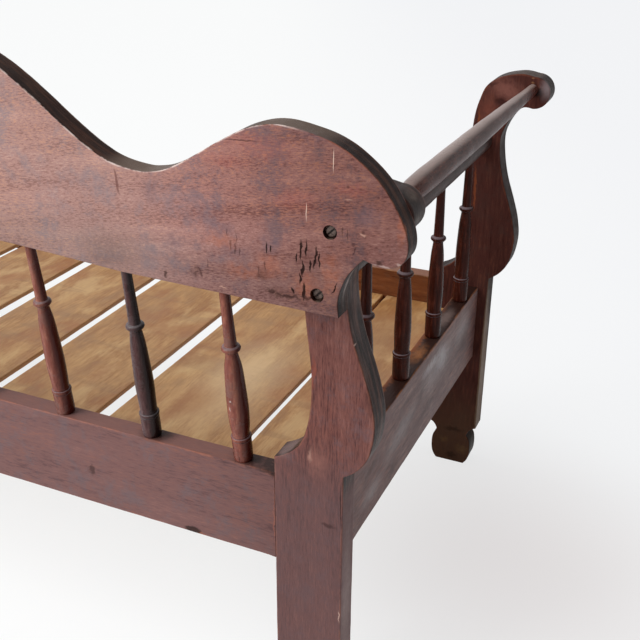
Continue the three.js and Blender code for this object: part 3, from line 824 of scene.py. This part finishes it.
LEG_MARKS = [
    ("b58b7c", 0.6, 0, [blot(-681.7, 358, 4, 13, 8, BACK_FACE)]),
    ("94665b", 0.4, 0, [blot(-690, 352, 16, 26, 16, BACK_FACE)]),
    ("33201f", 0.6, 0, [spot(-704, 275, 10, 4, 10, y=BACK_FACE)]),
    ("7a6664", 0.65, 0, [blob((-651, 273, 351), (20, 24, 11), 6, 0.6)]),
    # Lighter lower leg side: painted light, the sheen and the floor's bounce
    ("a89490", 0.3, 0, [blob((-719.9, 274, 140), (5, 20, 170), 8, 0.8)]),
    ("150b09", 0.5, 0, [blob((-748, 284, 438), (12, 14, 34))]),
    ("241210", 0.7, 0.5, [upright(-717.8, 305, 30, 0.8, 0.6, 3, BACK_FACE)]),
    ("c7a79a", 0.7, 0.3, [upright(-717.8, 152.4, 12, 0.8, y=BACK_FACE), spot(-729.1, 497.6, 1.6, y=BACK_FACE)]),
    ("8c4634", 0.4, 0, [upright(-685.6, 457.4, 24, 2.4, -3, 8, BACK_FACE)]),
    ("1d120f", 0.85, 0, [blob((-778, 285, 632), (36, 30, 40), 4, 0.4)]),
    # Lighter patches on the rear scroll's top: painted highlight
    ("6b5d54", 0.5, 0, [blob((-776, 274, 650), (12, 14, 8), 14), blob((-783, 278, 630), (6, 12, 10), 14)]),
]
POST_MARKS = [
    # Lighter patches on the front foot's bulb: painted highlight
    ("7a5e40", 0.6, 0, [blot(-700, 28, 16, 12, 14, FRONT_FACE), blot(-668, 40, 12, 8, 14, FRONT_FACE)]),
    ("150b07", 0.6, 0, [blot(-684, 62, 22, 7, 12, FRONT_FACE), blot(-682, 12, 14, 9, 12, FRONT_FACE)]),
    ("8a5a50", 0.7, 0, [blob((-722, FRONT_FACE, 629), (44, 8, 22), 14, turn=(0, -20, 0))]),
    ("7a463a", 0.65, 0, [blot(-698, 596, 20, 44, 14, FRONT_FACE)]),
    ("2a1412", 0.6, 0, [blot(-716, 612, 16, 5, 12, FRONT_FACE), blot(-700, 636, 14, 4, 12, FRONT_FACE)]),
    # Orange streaks near the neck's inner edge: painted light reflected from the seat
    ("8a4a2c", 0.6, 0, [
        upright(-686.5, 570, 34, 2.6, 4, 6, FRONT_FACE), upright(-688, 480, 40, 2.4, 2, 6, FRONT_FACE),
    ]),
    # Dark spot where the arm bar enters the scroll: painted shadow
    ("120807", 0.9, 0, [spot(-766, 629, 9, 9, 3, 0.8, FRONT_FACE)]),
    # Lighter grey on the scroll's round end: painted light
    ("8f8284", 0.7, 0, [blot(-777, 634, 14, 21, 7, FRONT_FACE)]),
    # Lighter outer side of the front leg: painted light, the sheen and the floor's bounce
    ("75604f", 0.9, 0, [blob((-719.9, -265, 150), (3, 60, 230), 2, 0.4)]),
    ("93694a", 0.7, 0, [blot(-757, 648, 3, 2, 3, FRONT_FACE), blot(-757.4, 641.6, 3.4, 2, 3, FRONT_FACE)]),
]
SIDE_MARKS = [
    ("c4c0c2", 0.55, 0, [patch(-104, 290, 44, 26, 25), patch(-60, 300, 60, 12, 0, 14)]),
    ("a19d9e", 0.42, 0, [
        patch(-90, 282, 110, 40), patch(60, 262, 90, 26, -8), patch(160, 236, 50, 20), patch(-200, 288, 60, 34),
    ]),
    ("2c1d1c", 0.45, 0, [
        patch(-15, 274, 28, 12, -25), patch(170, 270, 40, 10, -10), patch(-215, 262, 34, 22),
        patch(90, 222, 40, 11), patch(-40, 238, 60, 9), patch(40, 296, 50, 8, 0, 12),
    ]),
    ("a0602f", 0.6, 0, [patch(-100, 321, 160, 1.6, 0, 5, 0.9)]),
    ("9c6238", 0.7, 0, [lying(-692, -36, 13, 42, 12, 1, 5, RAIL_TOP)]),
    ("7a6660", 0.6, 0, [lying(-692, -157, 12, 44, 8, 0.8, 5, RAIL_TOP)]),
    # Orange along the side rail's inner top edge: painted light reflected from the seat
    ("8a4c26", 0.7, 0, [lying(-681, -20, 8, 260, 12, 0.9, 5, RAIL_TOP)]),
]
SPINDLE_MARKS = [
    ("d8c9c2", 0.65, 0, [
        blob((-594, 295, 407), (1.8, 7, 2.6), 4, 0.8), blob((-593, 294, 396), (1.2, 7, 4.5), 4, 0.8),
    ]),
]
BOARD_MARKS = [
    ("dabb92", 0.68, 0, [lying(-471, 57, 80, 190)]),
    ("8c6038", 0.68, 0, [lying(-605, -150, 70, 150)]),
    ("a06a3a", 0.62, 0, [lying(-445, 128, 46, 70)]),
    ("8c5026", 0.55, 0, [
        lying(-372, 20, 20, 60, turn=8), lying(-392, -62, 26, 16), lying(-430, 150, 16, 80),
        lying(-330, -120, 30, 18), lying(-545, -120, 14, 90), lying(-290, 120, 18, 50),
    ]),
    ("4a2d17", 0.8, 0, [lying(-181, -29, 4, 16, 5, 0.5)]),
]
# Darker in the crest screws' slots
SCREW_MARKS = [("0c0807", 0.9, 0, [
    blob((x, CREST_FACE, z), (8, 9, 1.5), 0, 0.6, (0, SLOT_TURN, 0)) for _, _, x, z in crest_screws()
])]

# The crest's pale pink-grey tones are partly its own colour and partly a painted sheen. Its fades darken it towards
# the ends, a painted falloff of the light, make it a little darker and cooler towards the bottom, and lay a
# pink-grey painted sheen over the middle; its sawn faces that look up are a lighter painted sheen.
CREST = stain(
    "stain_crest", "X", "815b54", "ae877e", "c7a59b", "cd8c5f", "7d7a83", worn="dccac2", wear_and_highlight_share=0.75,
    highlight_from=(-0.1, 0.4), highlight_far=(0.66, 0.7, "8a5546"), sawn=("Y", "110806", "3c2419", "5a4c42", 0.95),
    streak=(200, 800), pore=(560, 1250), flecks=0.55, fibres=0.42, sheen=0.04, contrast=0.13,
    bump=0.0003, tilt=-8, marks=CREST_MARKS,
    fades=[
        ("MULTIPLY", "X", 0.46, 0.8, "a29694", 0.84), ("MULTIPLY", "Z", 0.61, 0.56, "dfe8ec", 1),
        ("MULTIPLY", "X", 0.46, 0.6, "f6e7e9", 1), ("MIX", "X", 0.62, 0.46, "967770", 0.32),
    ],
)
REAR_POST = stain(
    "stain_rear_post", "Z", "4f302d", "6f4640", "80564e", "86493a", "61545a", (2, 1, 0), worn="a16853",
    wear_and_highlight_share=0.3, sawn=("Y", "0f0806", "553b33", "2a1d19", 0.95), sawn_from=(0.3, 0.335), streak=(60, 520),
    pore=(160, 800), flecks=0.3, clouds=0.4, sheen=0.08, bump=0.0005,
    fades=[("MIX", "Z", 0.4, 0.3, "5f4b4c", 0.6)], marks=LEG_MARKS,
)
# Darker than the rear posts: partly the wood's own deep red-brown, partly painted shade.
FRONT_POST = stain(
    "stain_front_post", "Z", "301713", "4c2b26", "5e3a31", "6b3c2c", "45322e", (5, 2, 1), worn="6e3c2a",
    sheen=0.03, fades=[("MIX", "Z", 0.17, 0.05, "5f4838", 0.68)], clouds=0.5, flecks=0.3, fibres=0.12,
    contrast=0.2, bump=0.0004, sawn=("Y", "0f0806", "2b1d18", "40352f", 0.9), marks=POST_MARKS,
)
# Its fade darkens it towards the ends, a painted falloff of the light; its top face takes a tone of its own,
# painted shade.
BACK_RAIL = stain(
    "stain_back_rail", "X", "573d3e", "755451", "845f5a", "87523f", "665c61", (1, 4, 2), worn="a8664b",
    wear_and_highlight_share=0.4, streak=(70, 460), pore=(140, 700), flecks=0.45, clouds=0.5, fibres=0.2, sheen=0.12, bump=0.0002,
    contrast=0.2, fades=[("MULTIPLY", "X", 0.5, 0.72, "c4b6b2", 0.5)],
    painted_light=[((0, 0, 1), "7c5246", 0.4, 0.6, 0.98)], marks=RAIL_MARKS,
)
# Its top face is lighter: painted light.
FRONT_RAIL = stain(
    "stain_front_rail", "X", "552c17", "784629", "875332", "8a5335", "60493a", (3, 3, 7), worn="c09a70",
    sheen=0.1, streak=(24, 160), fibres=0.15, painted_light=[((0, 0, 1), "8a6150", 0.7, 0.6, 0.98)],
)
# Its top face is much darker: painted shade under the arms.
SIDE_RAIL = stain(
    "stain_side_rail", "Y", "483231", "6e5350", "866b65", "875444", "786a6a", (4, 1, 3), worn="a0653f",
    fibres=0.5, sheen=0.08, streak=(34, 420), pore=(90, 640), clouds=0.7,
    painted_light=[((0, 0, 1), "220f08", 0.93, 0.5, 0.95)], marks=SIDE_MARKS,
)
# Painted highlight: a pale band along the top; painted shade: a darker, redder lower flank.
BAR = stain(
    "stain_bar", "Y", "301914", "4a2b25", "563530", "683826", "42322e", (6, 2, 2), sheen=0.05,
    gloss=(0.26, 0.38), streak=(60, 460), pore=(160, 800), bump=0.0004,
    painted_light=[((0.16, 0, 0.99), "998781", 0.84, 0.6, 0.97), ((-0.6, 0, -0.8), "42120a", 0.6, 0.2, 0.9)],
)
# Painted highlight: a paler band along the top.
LOW_BAR = stain(
    "stain_low_bar", "Y", "2c1f1c", "402f2c", "4d3a36", "523830", "443a37", (3, 5, 2),
    sheen=0.05, gloss=(0.3, 0.44), painted_light=[((0.32, 0, 0.95), "7a6660", 0.6, 0.66, 0.97)],
)
# Painted shade on the side turned from the light, and painted highlights on the upward faces of the rings and
# collar.
SPINDLE = stain(
    "stain_spindle", "Z", "4c241c", "7a4237", "96604f", "8e4a32", "70544c", (2, 7, 4), flecks=0.25,
    fibres=0.25, sheen=0.17, gloss=(0.2, 0.32), worn="a8928c", wear_and_highlight_share=0.55, marks=SPINDLE_MARKS,
    painted_light=[((-0.9, -0.4, 0), "360702", 0.92, -0.3, 0.7), ((0, 0.3, 0.95), "7a6e72", 0.55, 0.6, 0.95)],
)
# Painted shade on the side turned from the light, painted light on the side towards it, and painted highlights on
# the upward faces of the rings and collar.
DARK_SPINDLE = stain(
    "stain_dark_spindle", "Z", "2a1514", "482a29", "5e4240", "532a20", "504041", (5, 3, 9), flecks=0.25,
    fibres=0.25, sheen=0.18, gloss=(0.2, 0.32), worn="979291", wear_and_highlight_share=0.6,
    painted_light=[
        ((-0.9, -0.4, 0), "0e0605", 0.92, -0.3, 0.7), ((0, 0.3, 0.95), "777274", 0.5, 0.6, 0.95),
        ((0.9, 0.4, 0), "6e666a", 0.5, 0.45, 1),
    ],
)
# Darker than the back spindles: painted shade inside the arms; painted highlights on the upward faces of the rings
# and collar.
SIDE_SPINDLE = stain(
    "stain_side_spindle", "Z", "1c0805", "38150d", "4d231a", "5e2d1d", "301c17", (8, 3, 4), sheen=0.08,
    fibres=0.3, flecks=0.3, gloss=(0.22, 0.32), painted_light=[((0, 0.3, 0.95), "85777c", 0.6, 0.55, 0.92)],
)
HONEY = seat_wood()
STEEL = steel()

XZ = "uwv"
YZ = "wuv"
XY = "uvw"


def make_posts():
    for end, side in SIDES.items():
        for place, height, rear, look in (
            ("rear", REAR_POST_HEIGHT, REAR_Y, REAR_POST),
            ("front", FRONT_POST_HEIGHT, FRONT_POST_Y, FRONT_POST),
        ):
            outline = [(end_x(side, inset), z) for inset, z in post_outline(height)]
            bm = board(outline, rear - POST_THICK, rear, XZ, POST_EDGE)
            piece(f"post_{place}_{end}", bm, look, f"{place}_post_{end}")


def make_rails():
    for name, rear, thick, height, look in (
        ("back_rail", REAR_Y, BACK_RAIL_THICK, BACK_RAIL_HEIGHT, BACK_RAIL),
        ("front_rail", FRONT_Y + FRONT_RAIL_THICK, FRONT_RAIL_THICK, FRONT_RAIL_HEIGHT, FRONT_RAIL),
    ):
        ends = (end_x(-1, LEG_WIDTH), end_x(1, LEG_WIDTH))
        outline = rectangle(*ends, RAIL_TOP - height, RAIL_TOP)
        bm = board(outline, rear - thick, rear, XZ, square=ends)
        piece(f"long_{name}", bm, look, name)
    for end, side in SIDES.items():
        ends = (FRONT_POST_Y + GAP, REAR_POST_Y - GAP)
        outline = rectangle(*ends, RAIL_TOP - SIDE_RAIL_HEIGHT, RAIL_TOP)
        faces = sorted((end_x(side, SIDE_RAIL_INSET), end_x(side, SIDE_RAIL_INSET + SIDE_RAIL_THICK)))
        bm = board(outline, *faces, YZ, square=ends)
        piece(f"end_rail_{end}", bm, SIDE_RAIL, f"side_rail_{end}")


def bore(x, face, z, way, radius, depth, worn=0):
    """A cutter for a screw's bore, from the face in the way given along Y."""
    return turned([(radius, CUT_START), (radius, depth)], (x, face, z), (x, face + way, z), SCREW_SIDES, worn)


def make_crest():
    made = piece("crest", board(crest_outline(), REAR_Y + GAP, CREST_Y, XZ, CREST_EDGE), CREST, "crest_rail")
    carved(made, [
        bore(x, CREST_Y, z, -1, CREST_BORE_RADIUS, CREST_BORE_DEPTH, worn=0.25) for _, _, x, z in crest_screws()
    ])


def make_screw(name, x, y, z, way, node, rim=SCREW_HEAD_RADIUS):
    """A slotted screw with its head at y, going in the way given along Y."""
    profile = [(share * rim, depth) for share, depth in HEAD_PROFILE] + [
        (rim, SCREW_HEAD_HEIGHT), (SCREW_SHANK_RADIUS, SCREW_HEAD_HEIGHT + 0.3),
        (SCREW_SHANK_RADIUS, SCREW_LENGTH - rim), (0.5, SCREW_LENGTH),
    ]
    bm = turned(profile, (x, y, z), (x, y + way, z), SCREW_SIDES, worn=0.03)
    made = piece(name, bm, STEEL, node)
    slot = bmesh.new()
    bmesh.ops.create_cube(slot, size=1)
    size = Matrix.Diagonal((3 * rim * MM, 2 * SLOT_DEPTH * MM, SLOT_WIDTH * MM, 1))
    turn = Matrix.Rotation(math.radians(SLOT_TURN), 4, "Y")
    slot.transform(Matrix.Translation(Vector((x, y, z)) * MM) @ turn @ size)
    carved(made, [slot])


def make_screws():
    y = CREST_Y - CREST_BORE_DEPTH + GAP + SCREW_HEAD_HEIGHT
    rim = SCREW_HEAD_RADIUS + CREST_HEAD_GROWTH
    for end, i, x, z in crest_screws():
        make_screw(f"screw_crest_{end}_{i}", x, y, z, -1, f"crest_screw_{end}_{i}", rim)
    top = SEAT_TOP - SLAT_THICK - GAP
    z = top - LEDGER_HEIGHT / 2
    inset = LEG_WIDTH + LEDGER_END_GAP
    outline = rectangle(end_x(-1, inset), end_x(1, inset), top - LEDGER_HEIGHT, top)
    for place, rail_face, way in (
        ("back", REAR_Y - BACK_RAIL_THICK, 1), ("front", FRONT_Y + FRONT_RAIL_THICK, -1),
    ):
        face = rail_face - way * (GAP + LEDGER_THICK)
        bm = board(outline, *sorted((rail_face - way * GAP, face)), XZ, STRIP_EDGE)
        strip = piece(f"strip_{place}", bm, FRONT_RAIL, f"{place}_ledger")
        bores = []
        for i in range(LEDGER_SCREWS):
            x = end_x(-1, LEG_WIDTH) * (1 - (2 * i + 1) / LEDGER_SCREWS)
            bores.append(bore(x, face, z, way, SCREW_HEAD_RADIUS + GAP, LEDGER_BORE_DEPTH))
            y = face + way * (LEDGER_BORE_DEPTH - GAP - SCREW_HEAD_HEIGHT)
            make_screw(f"screw_{place}_strip_{i + 1}", x, y, z, way, f"{place}_ledger_screw_{i + 1}")
        carved(strip, bores)


def spindle_profile(clear, collar, girth=1):
    """A spindle's turned shape over its clear height."""
    low = FOOT_PROFILE + [(0.94, collar * 0.5)] + [(r, collar + z) for r, z in COLLAR_PROFILE]
    belly = [(r * (girth if r > 0.7 else 1), z) for r, z in BALUSTER_PROFILE]
    shares = low + belly + RING_PROFILE + SHAFT_PROFILE
    line = spline([(r * SPINDLE_RADIUS, z * clear) for r, z in shares], PROFILE_STEPS)
    return line + [(line[-1][0], clear + SPINDLE_TAIL)]


def make_spindles():
    pitch = (LEG_SPAN - 2 * BACK_SPINDLE_INSET) / (BACK_SPINDLES - 1)
    for i in range(BACK_SPINDLES):
        x = end_x(-1, BACK_SPINDLE_INSET + i * pitch)
        foot_off, top_off = SPINDLE_OFFSETS[i]
        rise = underside_at(x) - RAIL_TOP
        base = (x + foot_off, BACK_RAIL_MID_Y, RAIL_TOP)
        top = (x + top_off, BACK_RAIL_MID_Y + rise * BACK_LEAN, RAIL_TOP + rise)
        profile = spindle_profile(math.dist(base, top), BACK_COLLAR, SPINDLE_GIRTHS[i])
        profile.insert(0, (profile[0][0], -FOOT_SINK))
        bm = turned(profile, base, top, floor=RAIL_TOP + FOOT_LIFT)
        look = DARK_SPINDLE if i in DARK_SPINDLES else SPINDLE
        piece(f"spindle_back_{i + 1}", bm, look, f"back_spindle_{i + 1}")
    for end, side in SIDES.items():
        for i in range(SIDE_SPINDLES):
            x = end_x(side, SIDE_RAIL_MID)
            y = REAR_Y - SIDE_SPINDLE_SETBACK - i * SIDE_SPINDLE_PITCH
            base, top = (x, y, RAIL_TOP + FOOT_LIFT), (x, y, SPINDLE_BAR_HEIGHT - SPINDLE_BAR_RADIUS)
            bm = turned(spindle_profile(math.dist(base, top), SIDE_COLLAR), base, top)
            piece(f"spindle_{end}_{i + 1}", bm, SIDE_SPINDLE, f"side_spindle_{end}_{i + 1}")


def make_bars():
    for end, side in SIDES.items():
        x = end_x(side, -SCROLL_REACH)
        drop = SCROLL_DROP + SCROLL_RADIUS - ARM_BAR_LIFT
        rear = (x, REAR_POST_Y, REAR_POST_HEIGHT - drop)
        front = (x - side * ARM_BAR_INWARD, FRONT_POST_Y, FRONT_POST_HEIGHT - drop - ARM_BAR_FALL)
        length = math.dist(rear, front)
        swell = ARM_BAR_RADIUS - ARM_BAR_END_RADIUS
        line = spline([(ARM_BAR_END_RADIUS + swell * s, a * length) for a, s in ARM_BAR_SWELL], SWELL_STEPS)
        line = [(ARM_BAR_END_RADIUS, -BAR_TAIL)] + line + [(ARM_BAR_END_RADIUS, length + BAR_TAIL)]
        bm = turned(line, rear, front, worn=0.35)
        piece(f"bar_arm_{end}", bm, BAR, f"arm_bar_{end}")
        x = end_x(side, SIDE_RAIL_MID)
        rear = (x, REAR_POST_Y + LOW_BAR_TAIL, SPINDLE_BAR_HEIGHT)
        front = (x, FRONT_POST_Y - LOW_BAR_TAIL, SPINDLE_BAR_HEIGHT)
        length = math.dist(rear, front)
        line = [(SPINDLE_BAR_RADIUS, length * i / BAR_STEPS) for i in range(BAR_STEPS + 1)]
        bm = turned(line, rear, front, worn=0.3)
        piece(f"bar_spindle_{end}", bm, LOW_BAR, f"spindle_bar_{end}")


def make_slats():
    inset = SIDE_RAIL_INSET + SIDE_RAIL_THICK + SLAT_END_GAP
    gaps = [share * SLAT_GAP for share in SLAT_GAPS] + [0]
    clear = 2 * end_x(1, inset) - sum(gaps)
    total = sum(SLAT_WIDTHS)
    front, rear = FRONT_Y + FRONT_RAIL_THICK + SLAT_END_GAP, REAR_Y - BACK_RAIL_THICK - SLAT_END_GAP
    notch_rear, notch_front = REAR_POST_Y - SLAT_END_GAP, FRONT_POST_Y + SLAT_END_GAP
    leg_in = end_x(1, LEG_WIDTH + SLAT_END_GAP)

    def between_legs(x, edge):
        return [(edge, notch_front), (x, notch_front), (x, notch_rear), (edge, notch_rear)]

    x = end_x(-1, inset)
    for i, (share, gap) in enumerate(zip(SLAT_WIDTHS, gaps)):
        x0, x1 = x, x + clear * share / total
        near, far = SLAT_TAPERS[i]
        start, left = (x0 + near, x0), []
        stop, right = (x1 + far, x1), []
        if x0 < -leg_in:
            start, left = (-leg_in, -leg_in), between_legs(x0, -leg_in)[::-1]
        if x1 > leg_in:
            stop, right = (leg_in, leg_in), between_legs(x1, leg_in)
        outline = [(start[0], front), (stop[0], front)] + right + [(stop[1], rear), (start[1], rear)] + left
        bm = board(outline, SEAT_TOP - SLAT_THICK, SEAT_TOP, XY, STRIP_EDGE)
        piece(f"slat_{i + 1}", bm, HONEY, f"seat_board_{i + 1}")
        x = x1 + gap


# Stage, lights and camera, in metres but for the painted shadow on the floor
FLOOR_SIZE = 18
FLOOR_PAINTED_SHADOW = blob((-880, -60, 0), (440, 420, 100), 0)
GLOW_SHARE = 0.78
AIM = Vector((0, 0, 0.35))
LENS = 54.18
SENSOR_WIDTH = 36
CAMERA_PLACE = (-1.0321, 1.0563, 0.9237)
CAMERA_AHEAD = (0.3645, -0.8229, -0.4359)
CAMERA_RIGHT = (-0.9132, -0.4075, 0.0057)
CAMERA_REACH = 60


def blended(nodes, links, share, first, second, output):
    """Sends a blend of two shaders to the output."""
    blend = nodes.new("ShaderNodeMixShader")
    for socket, source in zip(blend.inputs, (share, first.outputs[0], second.outputs[0])):
        links.new(source, socket)
    links.new(blend.outputs[0], nodes[output].inputs[0])


def make_stage():
    bm = bmesh.new()
    bmesh.ops.create_grid(bm, x_segments=1, y_segments=1, size=FLOOR_SIZE)
    mesh = meshed("floor", bm)
    floor = placed("floor", mesh)
    g = Graph("pale_floor")
    # A painted shadow of the bench on the floor, beside its right end
    painted_shadow = g.mark(*FLOOR_PAINTED_SHADOW)
    # Painted falloff of the light: the floor and its glow turn a little darker and cooler towards the front right
    cool = g.span(g.vector("DOT_PRODUCT", g.place, (-0.6, -0.3, 0), "Value"), 0.1, 1.2)
    tint = g.mix(cool, "f5f6f7", "eeeff2")
    g.feed(g.shader.inputs["Base Color"], g.mix(painted_shadow, tint, "e2dfdf"))
    bright = g.mix(cool, "feffff", "f7f8fa")
    g.shader.inputs["Roughness"].default_value = 0.9
    g.shader.inputs["Specular IOR Level"].default_value = 0.1
    seen = seen_rays(g.nodes, g.links)
    glow = g.make("Emission", {"Color": g.mix(painted_shadow, bright, "ece9e9"), "Strength": 1})
    blended(g.nodes, g.links, g.times(seen, GLOW_SHARE), g.shader, glow, "Material Output")
    mesh.materials.append(g.material)


def seen_rays(nodes, links):
    """1 for a ray from the camera, or one that a mirror or glass sends on."""
    path = nodes.new("ShaderNodeLightPath")
    total = path.outputs["Is Camera Ray"]
    for name in ("Is Glossy Ray", "Is Transmission Ray"):
        both = nodes.new("ShaderNodeMath")
        both.operation = "MAXIMUM"
        links.new(total, both.inputs[0])
        links.new(path.outputs[name], both.inputs[1])
        total = both.outputs[0]
    return total


def make_lights():
    world = bpy.data.worlds.new("room")
    bpy.context.scene.world = world
    world.use_nodes = True
    nodes, links = world.node_tree.nodes, world.node_tree.links
    plain, white = nodes["Background"], nodes.new("ShaderNodeBackground")
    for made, tint, strength in ((plain, (1, 0.99, 0.98, 1), 0.3), (white, colour("f7f8fa"), 1)):
        made.inputs["Color"].default_value = tint
        made.inputs["Strength"].default_value = strength
    blended(nodes, links, seen_rays(nodes, links), plain, white, "World Output")
    for name, kind, place, size, power in (
        ("window", "AREA", (1.6, 2.4, 1.7), 1.6, 60),
        ("sky", "SUN", (1.5, 1.2, 3.6), math.radians(50), 2.0),
    ):
        lamp = bpy.data.lights.new(name, kind)
        if kind == "SUN":
            lamp.angle = size
        else:
            lamp.shape = "SQUARE"
            lamp.size = size
        lamp.energy = power
        made = placed(name, lamp)
        made.location = place
        made.visible_camera = False
        made.rotation_euler = (AIM - Vector(place)).to_track_quat("-Z", "Y").to_euler()


def make_camera():
    data = bpy.data.cameras.new("camera")
    data.lens = LENS
    data.sensor_width = SENSOR_WIDTH
    data.clip_end = CAMERA_REACH
    ahead, right = Vector(CAMERA_AHEAD).normalized(), Vector(CAMERA_RIGHT).normalized()
    turn = Matrix((right, right.cross(ahead), -ahead)).transposed()
    made = placed("camera", data)
    made.matrix_world = Matrix.Translation(CAMERA_PLACE) @ turn.to_4x4()
    bpy.context.scene.camera = made


make_camera()
make_stage()
make_lights()
make_posts()
make_rails()
make_crest()
make_screws()
make_spindles()
make_bars()
make_slats()
bpy.context.scene.view_settings.view_transform = "Standard"
